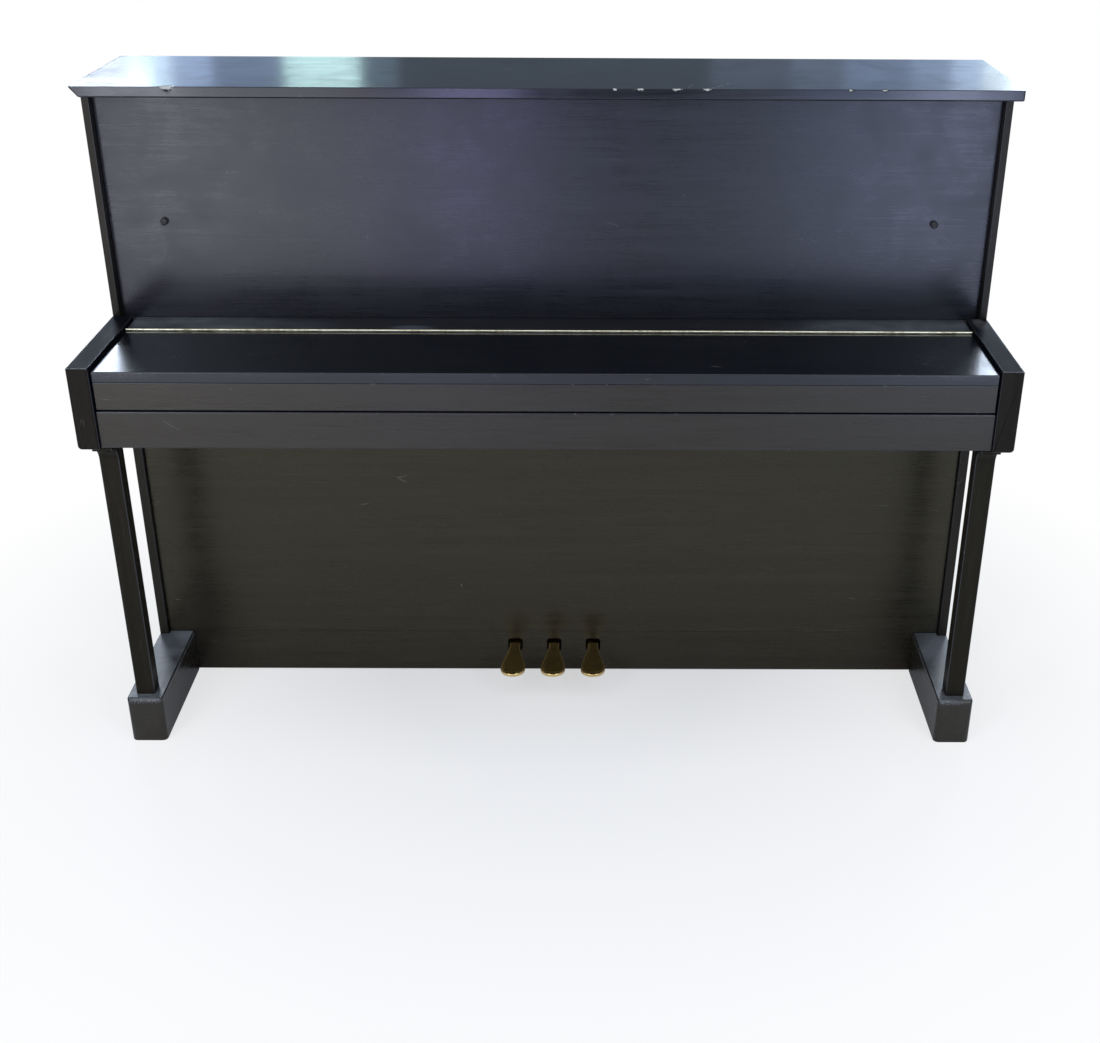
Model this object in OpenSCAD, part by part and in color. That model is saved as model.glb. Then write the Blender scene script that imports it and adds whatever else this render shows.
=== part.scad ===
// Studio upright piano: case, folding fallboard, keyboard, action, strung back and pedals.
// The origin is on the floor under the middle of the piano: +X to the player's right,
// +Y towards the back, +Z up. Sizes are in millimetres.

/* [Case] */
// Width across the side panels and across the arms
case_w = 1510; // [1490:1:1560]
// Height of the lid's underside above the floor
case_h = 1095; // [1080:1:1180]
// Depth of the side panels
case_d = 283; // [280:1:320]
// Thickness of the side panels and of the arms
side_t = 35; // [30:1:38]
// Front edge of each side panel that shows beside the upper panel
upper_edge = 12; // [8:1:16]
// Front edge of each side panel that shows beside the lower panel
lower_edge = 16; // [8:1:20]
// Thickness of the upper and lower panels
panel_t = 18; // [15:1:22]
// How far the upper panel stands back from the side panels' front edges
upper_recess = 18; // [14:1:22]
// How far the lower panel and the base rail stand back from the same edges
lower_recess = 10; // [6:1:20]
// Height of the toe blocks and of the base rail's top
base_h = 88; // [80:1:110]
// Gap between the base rail and the floor
base_gap = 3; // [2:1:8]
// Thickness of the bottom board
bottom_t = 20; // [16:1:22]

/* [Lid] */
// Thickness of the lid
lid_t = 18; // [15:1:28]
// Overhang of the lid past each side panel
lid_side = 14; // [10:1:25]
// Overhang of the lid past the front edges
lid_front = 10; // [6:1:20]
// Height of the upright part of the lid's left end, which slopes back underneath to the case
lid_lip = 2; // [1:0.5:14]
// Small bevel under the lid's front edge and under its right end
lid_corner = 3; // [1:0.5:6]
// Radius of the lid's hinge barrels
lid_barrel_r = 2.5; // [2.5:0.1:3.5]
// Length of one lid hinge
lid_hinge_l = 90; // [60:1:120]

/* [Arms, legs and toe blocks] */
// How far the arms reach in front of the side panels
arm_reach = 258; // [250:1:290]
// How far the arm tops stand above the closed fallboard
arm_rise = 8; // [4:1:14]
// Radius on the front ends of the arms
arm_round = 9; // [4:1:14]
// Width of a leg
leg_w = 33; // [26:1:40]
// Depth of a leg
leg_d = 28; // [22:1:36]
// Distance from the arm's front to the leg's front
leg_back = 47; // [44:1:60]
// Distance from the arm's outer face to the leg's
leg_in = 14; // [8:1:22]
// Radius of the cove at the head of a leg
leg_cove = 26; // [16:1:30]
// Width of a toe block
toe_w = 63; // [58:1:80]
// Distance from the arm's front to the toe block's front
toe_back = 28; // [20:1:34]
// Radius on the toe block's edges
toe_round = 9; // [5:1:13]

/* [Key bed and fallboard] */
// Height of the key bed's underside
bed_z = 586; // [570:1:620]
// Thickness of the key bed
bed_t = 36; // [32:1:42]
// How far the key bed reaches behind the side panels' front edges
bed_back = 130; // [128:1:132]
// Distance from the arm's front to the fallboard and the key slip
front_set = 7; // [4:1:10]
// Height of the key slip
slip_h = 63.5; // [60:0.5:64]
// Thickness of the key slip
slip_t = 20; // [16:1:22]
// Thickness of the fallboard
flap_t = 18; // [16:1:22]
// Gap between the fallboard and each arm
flap_gap = 2; // [1:0.1:4]
// Height of the fascia under the fallboard's front edge
fascia_h = 47; // [40:1:48]
// Thickness of the fascia
fascia_t = 16; // [12:1:17]
// Distance of the fallboard's hinge line in front of the side panels' front edges
hinge_set = 55; // [50:1:58]
// Radius of the fallboard hinge's barrel
barrel_r = 2; // [1.8:0.1:2.4]
// Length of one knuckle of the fallboard hinge
knuckle_l = 29; // [20:1:60]
// Height of the fallboard hinge's leaves
leaf_h = 12; // [8:1:13]
// Thickness of every hinge leaf
leaf_t = 1; // [0.8:0.1:1.2]
// Thickness of the music shelf under the fallboard
shelf_t = 8; // [6:0.5:10]
// Width of the music shelf
shelf_w = 50; // [40:1:56]
// Distance from the nameboard's front forward to the music shelf's hinge line
shelf_set = 9; // [8:0.5:12]
// Radius of the shelf hinges' barrels
shelf_barrel_r = 1.5; // [1.3:0.1:1.6]
// Height of the rubber buttons above the fallboard's top
button_rise = 169; // [150:1:174]
// Distance from a button to the side panel's outer face
button_in = 105; // [80:1:140]
// Radius of a rubber button
button_r = 6.3; // [5:0.1:8]
// How far a rubber button stands out
button_out = 9; // [8:0.5:10]

/* [Keyboard] */
// Width of one white key with its gap
white_pitch = 23.5; // [23:0.1:23.6]
// Gap between two keys
key_gap = 1; // [0.8:0.1:1.3]
// Height of a key stick, which is also the white key's
stick_h = 23; // [20:0.5:26]
// Width of a key stick behind the balance rail
stick_w = 10.8; // [10:0.1:11]
// Length of the wide head of a white key
head_l = 50; // [48:1:53]
// Length of a black key's cap
cap_l = 100; // [90:1:101]
// Width of a black key's cap
cap_w = 10.2; // [9:0.1:11]
// Height of a black key above the white ones
cap_h = 11; // [10:0.5:13]
// How far the keys' balance line lies behind the side panels' front edges
balance_set = 0; // [-4:1:4]
// Distance from the balance point to the capstans
capstan_reach = 100; // [98:1:102]
// Height of the keys' undersides above the key bed
key_lift = 31; // [28:1:36]
// Turn of a key when it is pressed, in degrees
key_dip = 2.5; // [2:0.1:2.6]

/* [Action] */
// Distance between neighbouring hammers
action_pitch = 13.05; // [12.8:0.05:13.1]
// Extra gap at the two breaks between string sections
break_w = 30; // [26:1:31]
// Height of the wippens' pivots above the white keys
wippen_rise = 64; // [60:1:70]
// Distance from the capstans back to the wippens' pivots
wippen_reach = 50; // [48:1:52]
// Height of the hammers' pivots above the wippens'
hammer_rise = 75; // [74:1:80]
// Distance from the wippens' pivots forward to the hammers'
hammer_set = 16; // [15:1:18]
// Length from the hammer's pivot to the middle of its head
hammer_l = 133; // [130:1:140]
// Reach of a hammer's nose past its pivot
nose_reach = 31; // [30:1:34]
// Turn of a hammer from rest to the string, in degrees
hammer_throw = 19; // [17:1:20]
// Space left between a raised hammer and its string
let_off = 1.5; // [1:0.1:2.5]
// Distance between the bass strings' plane and the others'
bass_step = 7; // [6:0.5:7.5]
// Last note that has a damper
last_damper = 66; // [60:1:70]
// Radius of the action's pivot pins
pin_r = 1.2; // [1:0.1:1.3]
// Radius of the bushed holes round them
bush_r = 1.5; // [1.5:0.1:1.7]

/* [Strung back] */
// Lean of the bass strings, in degrees
bass_lean = 26; // [22:1:27]
// Lean of the other strings, in degrees
long_lean = 14; // [12:1:15]
// Speaking length of the highest note
top_length = 52; // [48:1:56]
// Growth of the speaking length over one octave
octave_growth = 1.72; // [1.68:0.01:1.74]
// Radius of a plain string
wire_r = 0.55; // [0.5:0.05:0.6]
// Radius of a tuning pin
tuning_r = 3.4; // [3:0.1:3.5]
// Length of a tuning pin in front of the pin block
tuning_l = 26; // [24:1:30]
// Height of the pin block
block_h = 100; // [96:1:120]
// Thickness of the iron plate
plate_t = 10; // [8:1:12]
// Width of the iron plate's bars
bar_w = 15; // [12:1:18]
// Thickness of the soundboard
board_t = 8; // [6:0.5:10]
// Thickness of the ribs
rib_t = 13; // [10:1:16]
// Width of the back posts
post_w = 70; // [60:1:90]
// Number of back posts
post_n = 5; // [4:1:6]

/* [Pedals] */
// Distance between neighbouring pedals
pedal_pitch = 75; // [70:1:90]
// Length of a pedal in front of the base rail
pedal_out = 118; // [100:1:125]
// Width of a pedal's toe
pedal_w = 46; // [40:1:52]
// Width of a pedal's arm
pedal_arm_w = 20; // [16:1:22]
// Thickness of a pedal
pedal_t = 9; // [8:1:11]
// Height of a pedal's underside
pedal_z = 58; // [57:1:62]
// Distance from the base rail's back to the pedals' pivots
pedal_pivot = 62; // [60:1:70]
// Distance from the pivots to the rods
rod_reach = 55; // [54:1:56]
// Radius of a pedal rod
rod_r = 5; // [4:0.5:6]

/* [Hidden] */
$fn = 48;
// Gap at a seat between two pieces
seat = 0.3;
// Overrun of a cut past the face it starts from
over = 1;

// Where the case stands: front of the arms, front edges of the side panels, and the back
lid_hinge_out = 2 * lid_barrel_r;
total_d = arm_reach + case_d + lid_hinge_out;
front_y = -total_d / 2;
case_y = front_y + arm_reach;
back_y = case_y + case_d;
out_x = case_w / 2;
in_x = out_x - side_t;
upper_y = case_y + upper_recess;
lower_y = case_y + lower_recess;
side_top = case_h - seat;

// Heights from the key bed up through the keys to the fallboard and the arm tops
bed_top = bed_z + bed_t;
key_z = bed_top + key_lift;
white_z = key_z + stick_h;
cap_z = white_z + cap_h;
shelf_room = 3.5;
shelf_z = cap_z + shelf_room;
flap_z = shelf_z + shelf_t + 0.5;
flap_top = flap_z + flap_t;
arm_top = flap_top + arm_rise;

// Fallboard: its hinge axis lies above the boards' top faces, so that the barrel clears them
board_y = front_y + front_set;
hinge_y = case_y - hinge_set;
hinge_z = flap_top + barrel_r;
leaf_gap = 0.4;
leaf_y = leaf_gap / 2;
edge_y = leaf_y + leaf_t;
flap_x = in_x - flap_gap;
knuckle_n = 2 * floor(flap_x / knuckle_l);
knuckle_pitch = 2 * flap_x / knuckle_n;

// Keys: the octave's twelve slots behind the white heads are equally wide
notes = 88;
first_note = 9;
white_of = [0, 0, 1, 1, 2, 3, 3, 4, 4, 5, 5, 6];
whites_ceg = [0, 4, 7];
whites_dfa = [2, 5, 9];
whites_b = [11];
blacks = [1, 3, 6, 8, 10];
slot_pitch = white_pitch * 7 / 12;
c0_x = -31 * white_pitch;
keyboard_x = 26 * white_pitch;
key_front = board_y + slip_t + 2;
balance_y = case_y + balance_set;
capstan_y = balance_y + capstan_reach;
key_back = capstan_y + 14;
capstan_r = 2.5;
key_bore_r = 3.3;
key_pin_r = 2;
function semitone(i) = (i + first_note) % 12;
function white_no(i) = 7 * floor((i + first_note) / 12) + white_of[semitone(i)];
function slot_x(i) = c0_x + (i + first_note + 0.5) * slot_pitch;
function notes_of(group) = [for (i = [0 : notes - 1]) if (len(search(semitone(i), group)) > 0) i];

// Strings and action: three sections, with a break after each of the first two
tenor_from = 28;
treble_from = 60;
double_from = 10;
middle = (notes - 1) / 2;
function section(i) = i < tenor_from ? -1 : i < treble_from ? 0 : 1;
function note_x(i) = (i - middle) * action_pitch + section(i) * break_w;
bass_break_x = (tenor_from - 0.5 - middle) * action_pitch - break_w / 2;
treble_break_x = (treble_from - 0.5 - middle) * action_pitch + break_w / 2;
wippen_y = capstan_y + wippen_reach;
wippen_z = white_z + wippen_rise;
hammer_y = wippen_y - hammer_set;
hammer_z = wippen_z + hammer_rise;
strike_z = hammer_z + hammer_l;
string_y = hammer_y + nose_reach + let_off + wire_r;
plate_y = string_y + 5;
plate_x = in_x - 20;
plate_back = plate_y + plate_t;
liner_t = 20;
board_front = plate_back + liner_t;
rib_y = board_front + board_t;
post_y = rib_y + rib_t;
post_x = in_x - seat;
block_top = case_h - 8;
block_z = block_top - block_h;
plate_z = base_h + 22;

// Action rail and its pivots
tongue_w = 3.8;
fork_w = 4.7;
butt_w = 9;
shank_r = 2.7;
head_w = 9.6;
rail_y0 = hammer_y - 6;
rail_y1 = hammer_y + 9;
rail_z1 = hammer_z - 17;
rail_z0 = rail_z1 - 28;
damper_y = rail_y1 + 8.5;
damper_z = rail_z1 + 7;
damper_rise = 76;
damper_h = 34;
capstan_top = wippen_z - 40;

// Strings: where note i ends above, and where it crosses its bridge and meets its hitch pin
wound_r = 1.2;
thick_r = 1.8;
core_r = 0.6;
function lean(i) = i < tenor_from ? -bass_lean : long_lean;
function strands(i) = i < double_from ? 1 : i < tenor_from ? 2 : 3;
function strand_step(i) = i < tenor_from ? 3.4 : 2.2;
function body_r(i) = i < double_from ? thick_r : i < tenor_from ? wound_r : wire_r;
function plane_y(i) = i < tenor_from ? string_y - bass_step : string_y;
function end_z(i) = strike_z + 8 + 46 * (notes - 1 - i) / (notes - 1);
function speaking(i) = top_length * pow(octave_growth, (notes - 1 - i) / 12);
function bridge_z(i) = i < tenor_from
    ? plate_z + 82 + 2.2 * i
    : end_z(i) - speaking(i) * cos(long_lean);
function hitch_z(i) = bridge_z(i) - (i < tenor_from ? 50 : 70);
function string_x(i, z) = note_x(i) + (z - strike_z) * tan(lean(i));
function row_z(k) = block_z + 22 + 25 * k;

// Where note i crosses its bridge, in X and Z, and the bridge's direction and lower side there
function bridge_at(i) = [string_x(i, bridge_z(i)), bridge_z(i)];
function bridge_run(i) = bridge_at(i + 1) - bridge_at(i);
function bridge_way(i) = bridge_run(i) / norm(bridge_run(i));
function bridge_side(i) = [bridge_way(i).y, -bridge_way(i).x];

// Pedals
bottom_z = 24;
bottom_top = bottom_z + bottom_t;
rail_back = lower_y + panel_t;
pivot_y = rail_back + pedal_pivot;
pivot_z = pedal_z + pedal_t / 2;
rod_y = pivot_y + rod_reach;
rod_top = key_z + stick_h + 14;
guide_z = bed_z + 12;
guide_t = 18;
pedal_pin_r = 3.5;

black_wood = [0.11, 0.11, 0.13];
raw_wood = [0.72, 0.56, 0.36];
pale_wood = [0.82, 0.68, 0.46];
dark_wood = [0.3, 0.2, 0.12];
brass = [0.8, 0.66, 0.3];
iron = [0.55, 0.44, 0.22];
steel = [0.7, 0.71, 0.74];
felt = [0.9, 0.88, 0.82];
ivory = [0.93, 0.92, 0.86];
rubber = [0.06, 0.06, 0.06];

// ---- Helpers ----

// A block between two opposite corners
module block(a, b) {
    translate(a) cube(b - a);
}

// A profile in Y and Z, carried along X
module along_x(x0, x1) {
    translate([x0, 0, 0]) rotate([90, 0, 90]) linear_extrude(x1 - x0) children();
}

// A profile in X and Z, carried along Y
module along_y(y0, y1) {
    translate([0, y1, 0]) rotate([90, 0, 0]) linear_extrude(y1 - y0) children();
}

// A plan in X and Y, raised along Z
module along_z(z0, z1) {
    translate([0, 0, z0]) linear_extrude(z1 - z0) children();
}

// A round bar along X, with its middle at p
module rod_x(p, r, l) {
    translate(p) rotate([0, 90, 0]) cylinder(r = r, h = l, center = true);
}

// Rectangle with corners rounded by r = [left low, right low, right high, left high]
module rounded(a, b, r) {
    at = [[a.x + r[0], a.y + r[0]], [b.x - r[1], a.y + r[1]],
        [b.x - r[2], b.y - r[2]], [a.x + r[3], b.y - r[3]]];
    polygon([
        [at[0].x, a.y], [at[1].x, a.y], [b.x, at[1].y], [b.x, at[2].y],
        [at[2].x, b.y], [at[3].x, b.y], [a.x, at[3].y], [a.x, at[0].y]
    ]);
    for (k = [0 : 3])
        if (r[k] > 0)
            translate(at[k]) circle(r[k]);
}

module pair() {
    children();
    mirror([1, 0, 0]) children();
}

// ---- Case ----

// Right-hand side panel: its front edge is rabbeted for the upper and lower panels
module side_panel() {
    difference() {
        block([in_x, case_y, 0], [out_x, back_y, side_top]);
        block([in_x - over, case_y - over, flap_top],
            [out_x - upper_edge, upper_y + panel_t, side_top + over]);
        block([in_x - over, case_y - over, -over],
            [out_x - lower_edge, lower_y + panel_t, bed_z]);
    }
}

module side_right() {
    color(black_wood) side_panel();
}

module side_left() {
    color(black_wood) mirror([1, 0, 0]) side_panel();
}

// Right-hand arm, glued to the front edge of the side panel
module arm() {
    along_x(in_x, out_x)
        rounded([front_y, bed_z], [case_y, arm_top], [arm_round, 0, 0, arm_round]);
}

module arm_right() {
    color(black_wood) arm();
}

module arm_left() {
    color(black_wood) mirror([1, 0, 0]) arm();
}

// Right-hand leg: a slim post that flares forward in a cove under the arm
module leg() {
    leg_y = front_y + leg_back;
    cove_top = 12;
    cove_z = bed_z - cove_top - leg_cove;
    along_x(out_x - leg_in - leg_w, out_x - leg_in) {
        translate([leg_y, base_h]) square([leg_d, bed_z - base_h]);
        difference() {
            translate([leg_y - leg_cove, cove_z]) square([leg_cove, bed_z - cove_z]);
            translate([leg_y - leg_cove, cove_z]) circle(leg_cove);
        }
    }
}

module leg_right() {
    color(black_wood) leg();
}

module leg_left() {
    color(black_wood) mirror([1, 0, 0]) leg();
}

// Right-hand toe block: rounded corners in plan, and a rounded top edge in front.
// Its inner half runs back past the side panel's edge to the base rail.
module toe_block() {
    toe_y = front_y + toe_back;
    x0 = out_x - toe_w;
    notch_x = out_x - lower_edge - seat;
    intersection() {
        along_z(0, base_h)
            difference() {
                rounded([x0, toe_y], [out_x, lower_y], [toe_round, toe_round, 0, 0]);
                translate([notch_x, case_y]) square([out_x, case_d]);
            }
        along_x(x0, out_x)
            rounded([toe_y, 0], [lower_y, base_h], [2, 0, 0, toe_round]);
    }
}

module toe_block_right() {
    color(black_wood) toe_block();
}

module toe_block_left() {
    color(black_wood) mirror([1, 0, 0]) toe_block();
}

module upper_panel() {
    x = out_x - upper_edge - seat;
    color(black_wood) block([-x, upper_y, flap_top + seat], [x, upper_y + panel_t, case_h - 4]);
}

// Domed rubber buttons that the open fallboard rests on
module panel_buttons() {
    dome = 3.5;
    neck = button_out - dome;
    color(rubber) pair()
        translate([out_x - button_in, upper_y, flap_top + button_rise])
            rotate([90, 0, 0])
                rotate_extrude() {
                    square([button_r, neck]);
                    translate([0, neck]) intersection() {
                        translate([0, dome - (button_r * button_r + dome * dome) / (2 * dome)])
                            circle((button_r * button_r + dome * dome) / (2 * dome));
                        square([button_r, dome]);
                    }
                }
}

module lower_panel() {
    x = out_x - lower_edge - seat;
    color(black_wood) block([-x, lower_y, base_h + seat], [x, rail_back, bed_z - seat]);
}

// Base rail, with a slot for each pedal
module base_rail() {
    x = out_x - lower_edge - seat;
    slot_w = pedal_arm_w + 8;
    color(black_wood)
        difference() {
            block([-x, lower_y + seat, base_gap], [x, rail_back, base_h]);
            for (k = [-1 : 1])
                along_y(lower_y - over, rail_back + over)
                    rounded([k * pedal_pitch - slot_w / 2, pedal_z - 14],
                        [k * pedal_pitch + slot_w / 2, pedal_z + pedal_t + 5], [6, 6, 6, 6]);
        }
}

module bottom_board() {
    x = in_x - seat;
    color(dark_wood) block([-x, rail_back + seat, bottom_z], [x, post_y - seat, bottom_top]);
}

// ---- Lid ----

// The left end slopes back underneath as far as the case; the front edge and the right end
// are upright, with a small bevel underneath
module top_lid() {
    y0 = case_y - lid_front;
    x0 = out_x + lid_side;
    top = case_h + lid_t;
    bevel_z = top - lid_lip;
    color(black_wood)
        intersection() {
            along_x(-x0, x0)
                polygon([
                    [y0 + lid_corner, case_h], [back_y, case_h], [back_y, top],
                    [y0, top], [y0, case_h + lid_corner]
                ]);
            along_y(y0, back_y)
                polygon([
                    [-out_x, case_h], [x0 - lid_corner, case_h], [x0, case_h + lid_corner],
                    [x0, top], [-x0, top], [-x0, bevel_z]
                ]);
        }
}

// Lid hinges: three pairs of leaves between the lid and the back frame's top beam
lid_leaf_gap = 0.4;
lid_axis_y = back_y + lid_barrel_r;
lid_axis_z = case_h - leaf_t - lid_leaf_gap / 2;
lid_leaf_w = 24;
lid_hinge_at = [-0.75 * in_x, 0, 0.75 * in_x];

module lid_hinges_case() {
    color(brass)
        for (x = lid_hinge_at)
            translate([x, lid_axis_y, lid_axis_z]) {
                rod_x([0, 0, 0], pin_r, lid_hinge_l);
                for (s = [-1, 1]) {
                    part = lid_hinge_l / 3 - seat;
                    rod_x([s * (lid_hinge_l - part) / 2, 0, 0], lid_barrel_r, part);
                    translate([s * (lid_hinge_l - part) / 2, 0, 0])
                        block([-part / 2, -lid_leaf_w, -lid_leaf_gap / 2 - leaf_t],
                            [part / 2, 0, -lid_leaf_gap / 2]);
                }
                block([-lid_hinge_l / 2, -lid_leaf_w, -lid_leaf_gap / 2 - leaf_t],
                    [lid_hinge_l / 2, -lid_barrel_r - seat, -lid_leaf_gap / 2]);
            }
}

module lid_hinges_lid() {
    part = lid_hinge_l / 3 - seat;
    color(brass)
        for (x = lid_hinge_at)
            translate([x, lid_axis_y, lid_axis_z])
                difference() {
                    union() {
                        rod_x([0, 0, 0], lid_barrel_r, part);
                        block([-part / 2, -lid_leaf_w, lid_leaf_gap / 2],
                            [part / 2, 0, lid_leaf_gap / 2 + leaf_t]);
                        block([-lid_hinge_l / 2, -lid_leaf_w, lid_leaf_gap / 2],
                            [lid_hinge_l / 2, -lid_barrel_r - seat, lid_leaf_gap / 2 + leaf_t]);
                    }
                    rod_x([0, 0, 0], bush_r, lid_hinge_l);
                }
}

// ---- Key bed and fallboard ----

// Key bed with the strip behind it that guides the pedal rods
module key_bed() {
    x = in_x - seat;
    guide_x = pedal_pitch + 2 * rod_r + 8;
    bed_y1 = case_y + bed_back;
    color(dark_wood) {
        difference() {
            union() {
                block([-x, board_y + slip_t, bed_z], [x, case_y, bed_top]);
                block([-x, case_y - over, bed_z + seat], [x, bed_y1, bed_top]);
                block([-guide_x, bed_y1 - over, guide_z], [guide_x, rod_y + 10, guide_z + guide_t]);
            }
            for (k = [-1 : 1])
                translate([k * pedal_pitch, rod_y, 0]) cylinder(r = rod_r + seat, h = case_h);
        }
    }
}

module key_slip() {
    x = in_x - seat;
    color(black_wood)
        along_x(-x, x)
            rounded([board_y, bed_z], [board_y + slip_t - seat, bed_z + slip_h],
                [2, 0, 0, 2]);
}

// Blocks at both ends of the keyboard, which carry the fallboard
module key_blocks() {
    x0 = keyboard_x + key_gap + 1;
    color(black_wood) pair()
        along_x(x0, in_x - seat)
            rounded([key_front, bed_top], [upper_y + panel_t, flap_z - seat], [0, 0, 0, 4]);
}

// Board across the keys, in front of the fallboard's fixed strip
name_t = 15;
name_y = key_front + head_l + cap_l + 3;
module nameboard() {
    x = keyboard_x + key_gap + 1 - seat;
    color(black_wood) block([-x, name_y, white_z + 3], [x, name_y + name_t, flap_z - 1.5]);
}

// Fixed strip behind the fallboard's hinge
module fallboard_rear() {
    x = in_x - seat;
    color(black_wood)
        block([-x, hinge_y + edge_y, flap_z], [x, upper_y + panel_t, flap_top]);
}

module fallboard_flap() {
    color(black_wood)
        along_x(-flap_x, flap_x)
            rounded([board_y, flap_z], [hinge_y - edge_y, flap_top], [0, 0, 0, 3]);
}

module fallboard_fascia() {
    color(black_wood)
        along_x(-flap_x, flap_x)
            rounded([board_y, flap_z - fascia_h], [board_y + fascia_t, flap_z], [2, 2, 0, 0]);
}

// Every other knuckle of the continuous hinge, from the given first one, with its leaf.
// side is 1 behind the axis and -1 in front of it.
module hinge_half(first, side) {
    leaf_top = -barrel_r - seat;
    inner = side * leaf_y;
    outer = side * edge_y;
    y0 = min(inner, outer);
    y1 = max(inner, outer);
    block([-flap_x, y0, leaf_top - leaf_h], [flap_x, y1, leaf_top]);
    for (k = [first : 2 : knuckle_n - 1]) {
        x0 = -flap_x + k * knuckle_pitch + seat / 2;
        x1 = x0 + knuckle_pitch - seat;
        rod_x([(x0 + x1) / 2, 0, 0], barrel_r, x1 - x0);
        block([x0, y0, leaf_top - over], [x1, y1, 0]);
    }
}

hinge_pin_r = 0.9;
module fallboard_hinge_fixed() {
    color(brass)
        translate([0, hinge_y, hinge_z]) {
            hinge_half(0, 1);
            rod_x([0, 0, 0], hinge_pin_r, 2 * flap_x - seat);
        }
}

module fallboard_hinge_moving() {
    color(brass)
        translate([0, hinge_y, hinge_z])
            difference() {
                hinge_half(1, -1);
                rod_x([0, 0, 0], hinge_pin_r + seat, 2 * in_x);
            }
}

// Music shelf, folded up under the fallboard
shelf_axis_y = name_y - shelf_set;
shelf_axis_z = flap_z - shelf_barrel_r - seat;
shelf_x = keyboard_x - 12;
shelf_hinge_l = 60;
shelf_hinge_at = [-0.7 * shelf_x, 0, 0.7 * shelf_x];
shelf_pin_r = 0.7;
module music_shelf() {
    y1 = shelf_axis_y - shelf_barrel_r - seat;
    part = shelf_hinge_l / 3 - seat;
    color(black_wood)
        along_x(-shelf_x, shelf_x)
            rounded([y1 - shelf_w, shelf_z], [y1, shelf_z + shelf_t], [3, 0, 0, 3]);
    color(brass)
        for (x = shelf_hinge_at)
            translate([x, shelf_axis_y, shelf_axis_z])
                difference() {
                    union() {
                        rod_x([0, 0, 0], shelf_barrel_r, part);
                        block([-part / 2, y1 - shelf_axis_y - seat, -shelf_barrel_r],
                            [part / 2, 0, -shelf_barrel_r / 3]);
                    }
                    rod_x([0, 0, 0], shelf_pin_r + seat, shelf_hinge_l);
                }
}

module shelf_hinges() {
    part = shelf_hinge_l / 3 - seat;
    color(brass)
        for (x = shelf_hinge_at)
            translate([x, shelf_axis_y, shelf_axis_z]) {
                rod_x([0, 0, 0], shelf_pin_r, shelf_hinge_l);
                block([-shelf_hinge_l / 2, shelf_barrel_r + seat, shelf_barrel_r + seat - leaf_t],
                    [shelf_hinge_l / 2, 12, shelf_barrel_r + seat]);
                for (s = [-1, 1])
                    translate([s * (shelf_hinge_l - part) / 2, 0, 0]) {
                        rod_x([0, 0, 0], shelf_barrel_r, part);
                        block([-part / 2, 0, shelf_barrel_r / 3],
                            [part / 2, shelf_barrel_r + over, shelf_barrel_r]);
                    }
            }
}

// ---- Strung back ----

// Posts between a top and a bottom beam, with a liner that carries the soundboard's edge
module back_frame() {
    beam_h = 90;
    frame_top = lid_axis_z - lid_leaf_gap / 2 - leaf_t;
    bay = (2 * post_x - post_w) / (post_n - 1);
    edge_w = 40;
    color(pale_wood) {
        block([-post_x, post_y, frame_top - beam_h], [post_x, back_y, frame_top]);
        block([-post_x, post_y, base_gap], [post_x, back_y, base_gap + beam_h]);
        for (k = [0 : post_n - 1])
            translate([-post_x + k * bay, 0, 0])
                block([0, post_y, base_gap + beam_h - over],
                    [post_w, back_y, frame_top - beam_h + over]);
        difference() {
            block([-plate_x, rib_y, plate_z], [plate_x, post_y + over, block_z]);
            block([-plate_x + edge_w, rib_y - over, plate_z + edge_w],
                [plate_x - edge_w, post_y + 2 * over, block_z - edge_w]);
        }
    }
}

module pin_block() {
    color(raw_wood) block([-post_x, plate_y, block_z + seat], [post_x, post_y, block_top]);
}

module soundboard() {
    color(pale_wood) block([-plate_x, board_front, plate_z], [plate_x, rib_y, block_z]);
}

// Ribs glued across the back of the soundboard, inside the liner
module ribs() {
    edge_w = 40;
    w = 26;
    step = 105;
    low = plate_z + edge_w + seat;
    high = block_z - edge_w - seat;
    x0 = plate_x - edge_w - seat;
    n = floor((2 * x0 + high - low) / step);
    color(pale_wood)
        along_y(rib_y, post_y - seat)
            intersection() {
                translate([-x0, low]) square([2 * x0, high - low]);
                union()
                    for (k = [1 : n])
                        translate([-x0 + k * step, low])
                            rotate(135) translate([-w, -w / 2]) square([2 * high, w]);
            }
}

// Bridges: the long one follows the ends of the strings' speaking lengths
module bridges() {
    half = 10;
    cap = 13;
    long_notes = [for (i = [tenor_from : 3 : notes - 1]) i];
    last = long_notes[len(long_notes) - 1];
    bass_end = tenor_from - 1;
    color(raw_wood) {
        along_y(string_y + wire_r + seat, board_front)
            polygon(concat(
                [bridge_at(tenor_from) + half * bridge_side(tenor_from)
                    - cap * bridge_way(tenor_from)],
                [for (i = long_notes) bridge_at(i) + half * bridge_side(i)],
                [bridge_at(last) + half * bridge_side(last) + cap * bridge_way(last)],
                [bridge_at(last) - half * bridge_side(last) + cap * bridge_way(last)],
                [for (i = [last : -3 : tenor_from]) bridge_at(i) - half * bridge_side(i)],
                [bridge_at(tenor_from) - half * bridge_side(tenor_from)
                    - cap * bridge_way(tenor_from)]
            ));
        along_y(string_y - bass_step + thick_r + seat, board_front)
            polygon([
                bridge_at(0) + [-cap, half], bridge_at(0) + [-cap, -half],
                bridge_at(bass_end) + [cap, -half], bridge_at(bass_end) + [cap, half]
            ]);
    }
}

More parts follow.
